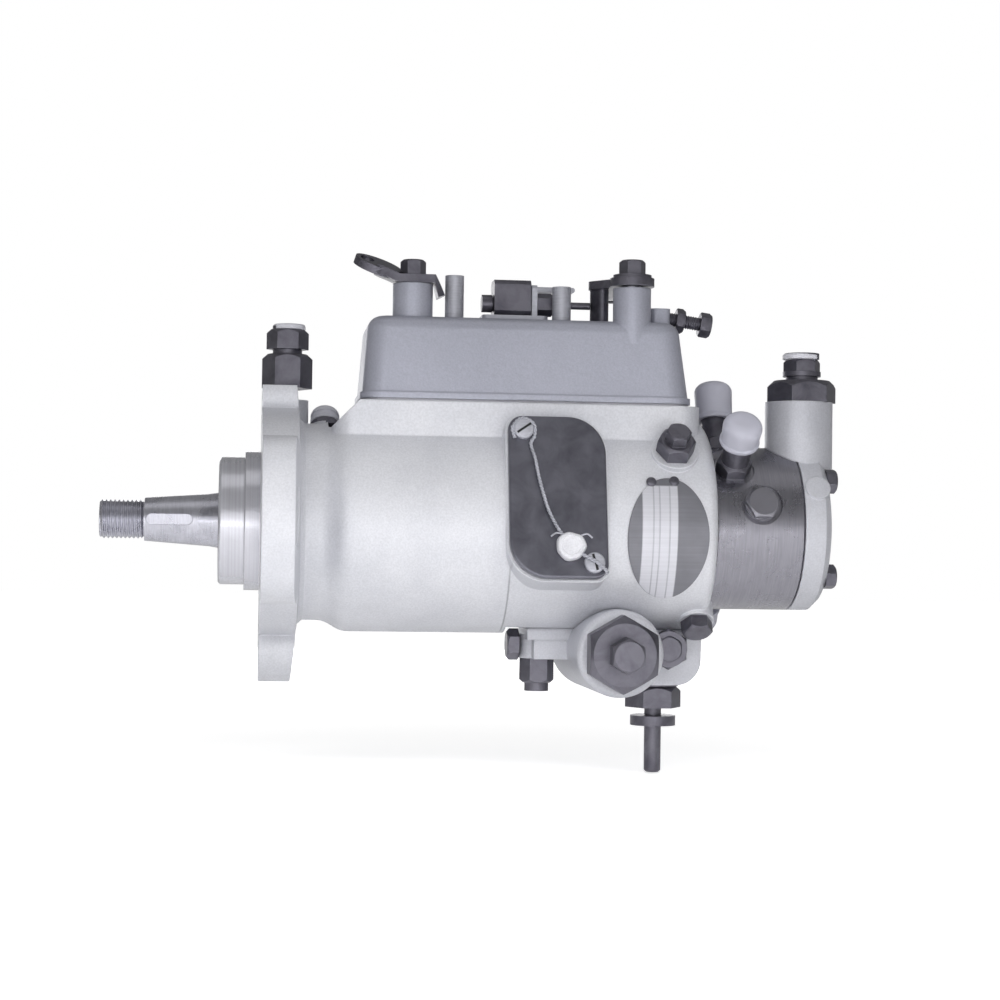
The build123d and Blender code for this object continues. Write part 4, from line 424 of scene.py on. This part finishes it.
housing_cast = housing_metal("housing_casting")
end_cast = cast_metal("end_casting", END_CAST)
cover_cast = cast_metal("cover_casting", COVER_CAST, rough=0.42, metal=0.45, grain=1.4)
bright = turned_metal("bright_steel", STEEL)
zinc = turned_metal("zinc_steel", ZINC, rough=0.42, metal=0.55, stretch=(60, 60, 700))
blacked = blacked_metal("blacked_steel", BLACKED)
head_steel = turned_metal("head_steel", HEAD, rough=0.27, stretch=(700, 30, 30))
union_steel = union_metal("union_steel")
gunmetal = blacked_metal("gunmetal_cover", COVER_PLATE, edge=0.6 * MM)
plate_finish = plate_metal("etched_plate")
pale_plastic = moulded("disc_plastic", DISC_PALE, rough=0.42, see_through=0.25)
plastic = moulded("cap_plastic", CAP_PALE, rough=0.42, see_through=0.25)
lead = cast_metal("lead", LEAD, rough=0.5, metal=0.25, edge=0.5 * MM, grain=1.6)
bronze = turned_metal("bronze", BRONZE, rough=0.4)
rubber = moulded("rubber", RUBBER, rough=0.55)
paper = moulded("gasket_paper", PAPER, rough=0.8)

paint(housing_cast, "pump_housing")
paint(end_cast, "advance_housing", "end_plate")
paint(cover_cast, "control_cover")
paint(
    bright,
    "drive_shaft", "stop_shaft", "throttle_shaft", "rotor", "pump_plungers",
    "roller_shoes", "adjusting_plates", "thrust_sleeve", "governor_arm", "link_hook",
    "metering_valve", "shut_off_bar", "cam_ring", "cam_screw", "transfer_pump_liner",
    "transfer_pump_rotor", "regulating_sleeve", "regulating_piston", "advance_piston",
    "governor_cage", "control_bracket", "flyweight_1", "flyweight_2", "flyweight_3",
    "flyweight_4", "governor_spring", "advance_spring", "regulating_spring", "seal_wire",
)
paint(zinc, "cover_studs", "idle_bracket")
paint(head_steel, "hydraulic_head")
paint(
    blacked,
    "stop_lever", "throttle_lever", "anti_stall_body",
    "idle_screw", "max_speed_screw", "head_locking_screws", "oil_unions", "union_plugs",
    "inlet_adaptor", "advance_cap", "advance_plugs", "locating_fitting", "advance_fixings",
    "inspection_screws", "end_plate_screws",
)
paint(union_steel, "outlet_unions")
paint(gunmetal, "inspection_cover")
paint(plate_finish, "data_plate")
paint(plastic, "dust_caps")
paint(lead, "lead_seal")
paint(bronze, "shaft_bush", "inlet_filter")
paint(rubber, "oil_seals")
paint(paper, "gaskets")


def plane(origin, z_dir, x_dir):
    """Matrix that puts millimetres on a plane into the frame."""
    out = Vector(z_dir).normalized()
    side = Vector(x_dir)
    side = (side - out * side.dot(out)).normalized()
    turn = Matrix((side, out.cross(side), out)).transposed()
    return Matrix.Translation(Vector(origin) * MM) @ turn.to_4x4() @ Matrix.Scale(MM, 4)


def facing(x, angle, reach):
    """Plane that looks away from the shaft axis, angle degrees above the near side."""
    rise = math.radians(angle)
    out = Vector((0, -math.cos(rise), math.sin(rise)))
    return plane(Vector((x, 0, 0)) + out * reach, out, (1, 0, 0))


def turns(segments):
    """Evenly spaced angles of one turn."""
    return [math.tau * s / segments for s in range(segments)]


def add_grid(mesh, rings):
    """Closed skin through rings of equal length; each ring is a closed loop of points."""
    rows = [[mesh.verts.new(point) for point in ring] for ring in rings]
    count = len(rows[0])
    for lower, upper in zip(rows, rows[1:]):
        for i in range(count):
            j = (i + 1) % count
            mesh.faces.new((lower[i], lower[j], upper[j], upper[i]))
    mesh.faces.new(rows[0][::-1])
    mesh.faces.new(rows[-1])


def add_turned(mesh, outline, segments):
    """Body of revolution about Z from its outline of (radius, z) points."""
    add_grid(
        mesh,
        [
            [(radius * math.cos(turn), radius * math.sin(turn), z) for turn in turns(segments)]
            for radius, z in outline
        ],
    )


def add_hexagon(mesh, across, height, foot=0.0):
    """Hexagon nut body with both rims turned off, from its foot up."""
    corner = across / math.sqrt(3)
    drop = 0.10 * across
    rings = []
    for z, share in ((0.0, 0.90), (drop / 2, 1.0), (height - drop, 1.0), (height, 0.86)):
        ring = []
        for turn in turns(72):
            off_flat = (turn + math.pi / 6) % (math.pi / 3) - math.pi / 6
            radius = min(across / 2 / math.cos(off_flat), corner * share)
            ring.append((radius * math.cos(turn), radius * math.sin(turn), foot + z))
        rings.append(ring)
    add_grid(mesh, rings)


ROWS_PER_PITCH = 10
FLANK_SLOPE = 2.5
ROOT_WIDTH = 0.12
END_DEPTH = 1.05
END_SLOPE = 0.9


def add_thread(mesh, radius, pitch, start, end, depth, segments):
    """Threaded rod along Z with turned-off ends."""
    rows = round((end - start) / pitch * ROWS_PER_PITCH)
    rings = []
    for row in range(rows + 1):
        z = start + (end - start) * row / rows
        chamfer = radius - depth * END_DEPTH + min(z - start, end - z) * END_SLOPE
        ring = []
        for turn in turns(segments):
            phase = ((z - start) / pitch - turn / math.tau) % 1.0
            tooth = min(1.0, max(0.0, FLANK_SLOPE * abs(phase - 0.5) - ROOT_WIDTH))
            r = min(radius - depth * (1.0 - tooth), chamfer)
            ring.append((r * math.cos(turn), r * math.sin(turn), z))
        rings.append(ring)
    add_grid(mesh, rings)


def heading(points, i):
    """Direction of a row of points at one of them."""
    ahead = points[min(i + 1, len(points) - 1)]
    behind = points[max(i - 1, 0)]
    return (ahead - behind).normalized()


def add_tube(mesh, points, radius):
    """Round wire along a row of points."""
    rings = []
    side = Vector((0, 0, 1))
    for i, point in enumerate(points):
        along = heading(points, i)
        side = (side - along * side.dot(along)).normalized()
        other = along.cross(side)
        rings.append(
            [
                point + side * (radius * math.cos(turn)) + other * (radius * math.sin(turn))
                for turn in turns(8)
            ]
        )
    add_grid(mesh, rings)


def smooth_row(points, steps):
    """Points of a smooth curve through the given points."""
    row = [Vector(p) for p in points]
    row = [row[0] * 2 - row[1]] + row + [row[-1] * 2 - row[-2]]
    made = []
    for i in range(1, len(row) - 2):
        p0, p1, p2, p3 = row[i - 1:i + 3]
        for step in range(steps):
            t = step / steps
            square = (2 * p0 - 5 * p1 + 4 * p2 - p3) * t ** 2
            cube = (3 * p1 - p0 - 3 * p2 + p3) * t ** 3
            made.append(0.5 * (2 * p1 + (p2 - p0) * t + square + cube))
    made.append(row[-2])
    return made


def join_into(mesh, part, matrix):
    """Adds a part to the mesh, moved by the matrix."""
    part.transform(matrix)
    data = bpy.data.meshes.new("joined_shape")
    part.to_mesh(data)
    part.free()
    mesh.from_mesh(data)
    bpy.data.meshes.remove(data)


def finished_piece(name, mesh, material, matrix=None, stands_for=(), body="pump_body"):
    """Object in the frame from mesh data, which a matrix brings there from its plane."""
    if matrix is not None:
        mesh.transform(matrix)
    bmesh.ops.recalc_face_normals(mesh, faces=mesh.faces)
    data = bpy.data.meshes.new(name)
    mesh.to_mesh(data)
    mesh.free()
    data.shade_smooth()
    data.set_sharp_from_angle(angle=SHARP)
    data.materials.append(material)
    made = bpy.data.objects.new(name, data)
    bpy.context.scene.collection.objects.link(made)
    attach(made, body)
    if stands_for:
        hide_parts(*stands_for)


# Drive shaft's nose
NOSE_R = 7.0
NOSE_PITCH = 1.5
NOSE_DEPTH = 0.70
NOSE_START = -57.0
NOSE_END = -41.9
NOSE_LAP = 0.3


def make_drive_shaft():
    """The solid's own mesh, cut behind its nose, with a threaded nose."""
    shaft = bmesh.new()
    shaft.from_mesh(nodes["drive_shaft"].data)
    cut = bmesh.ops.bisect_plane(
        shaft,
        geom=shaft.verts[:] + shaft.edges[:] + shaft.faces[:],
        plane_co=(NOSE_END * MM, 0, 0),
        plane_no=(1, 0, 0),
        clear_inner=True,
    )
    rim = [item for item in cut["geom_cut"] if isinstance(item, bmesh.types.BMEdge)]
    bmesh.ops.contextual_create(shaft, geom=rim)
    nose = bmesh.new()
    add_thread(nose, NOSE_R, NOSE_PITCH, NOSE_START, NOSE_END + NOSE_LAP, NOSE_DEPTH, segments=56)
    join_into(shaft, nose, plane((0, 0, 0), (1, 0, 0), (0, 0, -1)))
    finished_piece("drive_shaft_threaded", shaft, bright, None, ("drive_shaft",), "drive")


# Maximum speed screw
SCREW_PLACE = (144.0, -6.0, 76.8)
SCREW_TILT = math.radians(8)
SCREW_ACROSS = 8.0


def make_max_speed_screw():
    """Threaded rod with its lock nut and its head."""
    screw = bmesh.new()
    add_thread(screw, radius=2.5, pitch=0.9, start=-4.6, end=15.6, depth=0.30, segments=32)
    add_hexagon(screw, SCREW_ACROSS, height=3.2, foot=6.2)
    add_hexagon(screw, SCREW_ACROSS, height=4.2, foot=15.2)
    add_turned(screw, [(2.0, 19.3), (2.6, 19.4), (2.4, 19.6), (0.3, 19.6)], 32)
    along = (math.cos(SCREW_TILT), 0, -math.sin(SCREW_TILT))
    place = plane(SCREW_PLACE, along, (0, 1, 0))
    finished_piece("max_speed_screw_cut", screw, blacked, place, ("max_speed_screw",))


# Inspection cover: its outer face, and its screws as x, y and angle of the slot
INSPECT_X = 102.5
INSPECT_TILT = 13.0
INSPECT_REACH = 39.7
INSPECT_GASKET_T = 0.7
INSPECT_T = 2.4
INSPECT_SCREWS = ((-11.95, 23.8, 35), (11.95, -23.8, 105))
inspect_plane = facing(INSPECT_X, INSPECT_TILT, INSPECT_REACH + INSPECT_GASKET_T + INSPECT_T)


def make_inspection_screws():
    """Screw heads with their shanks, and in each a black bar of painted shade where the slot's recess would
    be.
    """
    heads = bmesh.new()
    slot_shades = bmesh.new()
    corners = ((-2.9, -0.4), (2.9, -0.4), (2.9, 0.4), (-2.9, 0.4))
    for x, y, angle in INSPECT_SCREWS:
        place = Matrix.Translation((x, y, 0)) @ Matrix.Rotation(math.radians(angle), 4, "Z")
        head = bmesh.new()
        add_turned(head, [(3.3, 0.0), (3.6, 0.25), (3.6, 1.9), (3.1, 2.45), (1.6, 2.75), (0.2, 2.8)], 40)
        add_turned(head, [(1.9, -8.2), (1.95, -7.9), (1.95, 0.1), (0.5, 0.1)], 24)
        join_into(heads, head, place)
        # Painted shade: a black bar stands in for the shaded recess of the slot, which the head has no cut
        # for.
        bar = bmesh.new()
        add_grid(bar, [[(a, b, z) for a, b in corners] for z in (2.0, 2.83)])
        join_into(slot_shades, bar, place)
    finished_piece(
        "inspection_screw_heads", heads, zinc, inspect_plane, ("inspection_screws",)
    )
    finished_piece("inspection_screw_slot_shades", slot_shades, rubber, inspect_plane)


# Seal and wire on the inspection cover
SEAL_X = 3.7
SEAL_Y = -18.3
WIRE_ROUTE = [
    (-15.2, 20.6, 1.2), (-15.9, 24.4, 1.6), (-12.6, 27.5, 1.7), (-8.6, 25.6, 1.8), (-8.2, 21.4, 1.5),
    (-9.6, 18.4, 1.2), (-8.2, 13.2, 1.5), (-6.9, 6.0, 1.7), (-5.4, 0.0, 1.6), (-3.6, -6.0, 1.8),
    (-0.6, -12.0, 1.9), (SEAL_X, SEAL_Y, 2.0), (7.6, -21.2, 2.6), (10.6, -23.0, 3.5),
    (13.2, -24.6, 3.5), (15.6, -26.4, 2.2), (16.4, -27.4, 1.0),
]
WIRE_TAILS = (
    [(SEAL_X - 2.0, SEAL_Y + 4.2, 2.2), (SEAL_X - 5.0, SEAL_Y + 4.6, 2.4), (SEAL_X - 7.0, SEAL_Y + 3.4, 2.5)],
    [(SEAL_X + 3.0, SEAL_Y + 3.6, 2.2), (SEAL_X + 5.6, SEAL_Y + 4.4, 2.4), (SEAL_X + 7.4, SEAL_Y + 3.0, 2.6)],
)
WIRE_LAY = 2.6
STRAND_OFFSET = 0.34
STRAND_R = 0.36
TAIL_R = 0.34


def strand_along(path, start):
    """Points of one strand that winds round the path from its start angle."""
    strand = []
    run = 0.0
    for i, point in enumerate(path):
        if i:
            run += (point - path[i - 1]).length
        along = heading(path, i)
        side = along.cross(Vector((0, 0, 1))).normalized()
        up = side.cross(along)
        turn = start + run / WIRE_LAY * math.tau
        strand.append(point + (side * math.cos(turn) + up * math.sin(turn)) * STRAND_OFFSET)
    return strand


def make_seal_wire():
    """Two twisted strands from screw to screw, with two loose ends at the seal."""
    wire = bmesh.new()
    path = smooth_row(WIRE_ROUTE, 14)
    for start in (0.0, math.pi):
        add_tube(wire, strand_along(path, start), STRAND_R)
    for tail in WIRE_TAILS:
        add_tube(wire, smooth_row(tail, 8), TAIL_R)
    finished_piece("seal_wire_twisted", wire, zinc, inspect_plane, ("seal_wire",))


def make_lead_seal():
    """Crimped seal: a dished disc, a little out of round."""
    outline = [
        (4.0, 0.1), (4.9, 0.6), (5.2, 1.5), (5.15, 2.9), (4.7, 3.7),
        (3.6, 4.15), (3.3, 3.75), (1.4, 3.7), (0.2, 3.8),
    ]
    squash = 0.96
    rings = []
    for radius, z in outline:
        ring = []
        for turn in turns(60):
            wave = 1 + 0.035 * math.sin(3 * turn + 0.7) + 0.02 * math.sin(7 * turn + 2.1)
            x = SEAL_X + radius * wave * math.cos(turn)
            y = SEAL_Y + radius * wave * squash * math.sin(turn)
            ring.append((x, y, z))
        rings.append(ring)
    seal = bmesh.new()
    add_grid(seal, rings)
    finished_piece("lead_seal_crimped", seal, lead, inspect_plane, ("lead_seal",))


# Data plate's rivets as x and height, on the plate's outer face
PLATE_R = 40.4
RIVET_SINK = 0.1
RIVETS = ((136.0, 15.4), (144.2, 15.8))


def make_plate_rivets():
    rivets = bmesh.new()
    for x, z in RIVETS:
        rivet = bmesh.new()
        add_turned(rivet, [(1.75, -0.3), (1.8, 0.15), (1.6, 0.55), (1.1, 0.85), (0.5, 0.98), (0.1, 1.0)], 28)
        angle = math.degrees(math.asin(z / PLATE_R))
        join_into(rivets, rivet, facing(x, angle, PLATE_R - RIVET_SINK))
    finished_piece("plate_rivets", rivets, blacked)


# Dust caps: the outlets' as angle, seat and height
CAP_R = 7.1
CAP_X = 169.0
OUTLET_CAPS = ((45, 42.6, 10.8), (105, 41.6, 14.8), (165, 40.6, 11.4), (225, 40.6, 11.4))
LEAK_CAP_R = 5.4
LEAK_CAP_HEIGHT = 6.6
LEAK_CAP_PLACE = (23.5, 121.0, 43.0)
DOME_WIDTH = 4.0
DOME_HEIGHT = 3.6
DOME_STEPS = 8


def add_cap(mesh, radius, height, place):
    """Domed cap with a bead round its rim."""
    dome = []
    for step in range(DOME_STEPS + 1):
        turn = math.pi / 2 * step / DOME_STEPS
        out = radius - DOME_WIDTH * (1 - math.cos(turn))
        dome.append((out, height - DOME_HEIGHT * (1 - math.sin(turn))))
    rim = [
        (radius - 1.4, 0.2), (radius - 0.2, 0.0), (radius + 0.1, 0.5),
        (radius + 0.1, 1.3), (radius - 0.35, 1.8), (radius - 0.3, 3.0),
    ]
    cap = bmesh.new()
    add_turned(cap, [*rim, *dome, (0.2, height)], 48)
    join_into(mesh, cap, place)


def make_dust_caps():
    caps = bmesh.new()
    for angle, seat, height in OUTLET_CAPS:
        add_cap(caps, CAP_R, height, facing(CAP_X, angle, seat))
    finished_piece("dust_caps_moulded", caps, plastic, None, ("dust_caps",))
    leak_cap = bmesh.new()
    add_cap(leak_cap, LEAK_CAP_R, LEAK_CAP_HEIGHT, facing(*LEAK_CAP_PLACE))
    finished_piece("leak_cap_moulded", leak_cap, pale_plastic, None, ("dust_caps",))


# Collar round the plug beside the advance cap
COLLAR_PLACE = (146.3, -18.0, -44.0)
COLLAR_ACROSS = 13.0
COLLAR_HEIGHT = 4.0


def make_advance_collar():
    collar = bmesh.new()
    add_hexagon(collar, COLLAR_ACROSS, COLLAR_HEIGHT)
    finished_piece(
        "advance_collar", collar, blacked, plane(COLLAR_PLACE, (0, -1, 0), (1, 0, 0))
    )


# Pale sealing discs on the plugs of the flange's union and of the inlet, as place and radius
DISCS = (((9.5, 14.0, 70.3), 6.0), ((197.6, -6.0, 62.2), 6.7))


def make_sealing_discs():
    discs = bmesh.new()
    for place, radius in DISCS:
        disc = bmesh.new()
        outline = [
            (radius - 1.0, 0.2), (radius, 0.5), (radius, 1.9),
            (radius - 0.5, 2.4), (radius - 3.0, 2.7), (0.2, 2.7),
        ]
        add_turned(disc, outline, 40)
        join_into(discs, disc, plane(place, (0, 0, 1), (1, 0, 0)))
    finished_piece("sealing_discs", discs, pale_plastic)


make_drive_shaft()
make_max_speed_screw()
make_inspection_screws()
make_seal_wire()
make_lead_seal()
make_plate_rivets()
make_dust_caps()
make_advance_collar()
make_sealing_discs()

# Camera at the photograph's place: on the near side, low and to the left of the middle
EYE = Vector((-5.0, -770.0, -10.0)) * MM
AIM = Vector((87.0, 0.0, 9.0)) * MM
VIEW_WIDTH = 366.0 * MM
ROLL = math.radians(0.8)
SENSOR = 36.0

# Room: levels of its light, and of the floor's glow from below the pump outwards
ROOM_LEVEL = 0.26
ROOM_FRONT = 0.15
ROOM_LEFT = 0.04
FLOOR_WHITE = (0.90, 0.90, 0.90, 1)
FLOOR_HALF = 3.0
FLOOR_DROP = 0.5 * MM
FLOOR_GLOW = 0.60
FLOOR_GLOW_FAR = 0.85
FLOOR_MIRRORED = 0.45


def make_camera():
    lens = bpy.data.cameras.new("photo_camera")
    camera = bpy.data.objects.new("photo_camera", lens)
    bpy.context.scene.collection.objects.link(camera)
    towards = AIM - EYE
    lens.sensor_width = SENSOR
    lens.lens = SENSOR * towards.length / VIEW_WIDTH
    lens.clip_start = 0.01
    lens.clip_end = 20.0
    turn = towards.to_track_quat("-Z", "Y").to_matrix() @ Matrix.Rotation(ROLL, 3, "Z")
    camera.matrix_world = Matrix.Translation(EYE) @ turn.to_4x4()
    bpy.context.scene.camera = camera


def make_floor():
    """White floor that keeps the pump's shadow and glows a little, more so far away."""
    bottom = cad_low.z - FLOOR_DROP
    mesh = bpy.data.meshes.new("floor")
    corners = [(x * FLOOR_HALF, y * FLOOR_HALF, bottom) for x, y in ((-1, -1), (1, -1), (1, 1), (-1, 1))]
    mesh.from_pydata(corners, [], [(0, 1, 2, 3)])
    floor = bpy.data.objects.new("floor", mesh)
    bpy.context.scene.collection.objects.link(floor)
    made, tree, shader = node_tree("floor_white")
    shader.inputs["Base Color"].default_value = FLOOR_WHITE
    shader.inputs["Roughness"].default_value = 1.0
    shader.inputs["Specular IOR Level"].default_value = 0.0
    shader.inputs["Emission Color"].default_value = (1, 1, 1, 1)
    rays = tree.nodes.new("ShaderNodeLightPath")
    x, y, _ = axes_of(tree, place_of(tree))
    off = distance(tree, maths(tree, "SUBTRACT", x, AIM.x), y)
    glow = spread(tree, off, FLOOR_GLOW, FLOOR_GLOW_FAR, start=0.15, end=0.70)
    near = spread(tree, off, FLOOR_MIRRORED, 0.0, start=0.13, end=0.36)
    seen = product(tree, rays.outputs["Is Camera Ray"], glow)
    mirrored = product(tree, rays.outputs["Is Glossy Ray"], near)
    tree.links.new(maths(tree, "ADD", seen, mirrored), shader.inputs["Emission Strength"])
    mesh.materials.append(made)


def make_world():
    """Soft room light, stronger from the near side, low down and from the left."""
    world = bpy.data.worlds.new("studio")
    bpy.context.scene.world = world
    world.use_nodes = True
    tree = world.node_tree
    background = tree.nodes["Background"]
    rays = tree.nodes.new("ShaderNodeLightPath")
    direction = tree.nodes.new("ShaderNodeTexCoord").outputs["Generated"]
    x, y, z = axes_of(tree, direction)
    front = spread(tree, y, ROOM_FRONT, 0.0, start=-0.95, end=-0.25)
    low = spread(tree, z, 1.0, 0.0, start=0.0, end=0.6)
    left = spread(tree, x, ROOM_LEFT, 0.0, start=-0.9, end=-0.1)
    total = maths(tree, "ADD", product(tree, front, low), left)
    total = maths(tree, "ADD", total, ROOM_LEVEL)
    strength = maths(tree, "MAXIMUM", total, rays.outputs["Is Camera Ray"], clamp=True)
    tree.links.new(strength, background.inputs["Strength"])
    background.inputs["Color"].default_value = (1.0, 1.0, 1.0, 1)


def soft_box(name, place, aim, size, power, mirrored=True):
    lamp = bpy.data.lights.new(name, "AREA")
    lamp.shape = "RECTANGLE"
    lamp.size, lamp.size_y = size
    lamp.energy = power
    made = bpy.data.objects.new(name, lamp)
    bpy.context.scene.collection.objects.link(made)
    place, aim = Vector(place), Vector(aim)
    turn = (aim - place).to_track_quat("-Z", "Y").to_matrix()
    made.matrix_world = Matrix.Translation(place) @ turn.to_4x4()
    made.visible_camera = False
    made.visible_glossy = mirrored


make_camera()
make_floor()
make_world()
middle = (cad_low + cad_high) / 2
soft_box("front_light", (-0.02, -0.95, 0.07), (0.09, 0, 0), size=(0.8, 0.32), power=0.8)
soft_box("low_light", (0.03, -0.60, -0.062), (0.09, 0, -0.01), size=(1.0, 0.05), power=0.4)
soft_box(
    "table_light", (0.06, -0.34, 0.20), (0.06, -0.40, -0.09), size=(0.8, 0.2), power=2.5, mirrored=False
)
soft_box("top_light", (0.05, -0.25, 0.9), middle, size=(0.9, 0.5), power=0.65)
soft_box("back_light", (0.09, 0.95, 0.10), (0.09, 0, 0), size=(0.8, 0.35), power=2.2)
bpy.context.scene.view_settings.view_transform = "Standard"
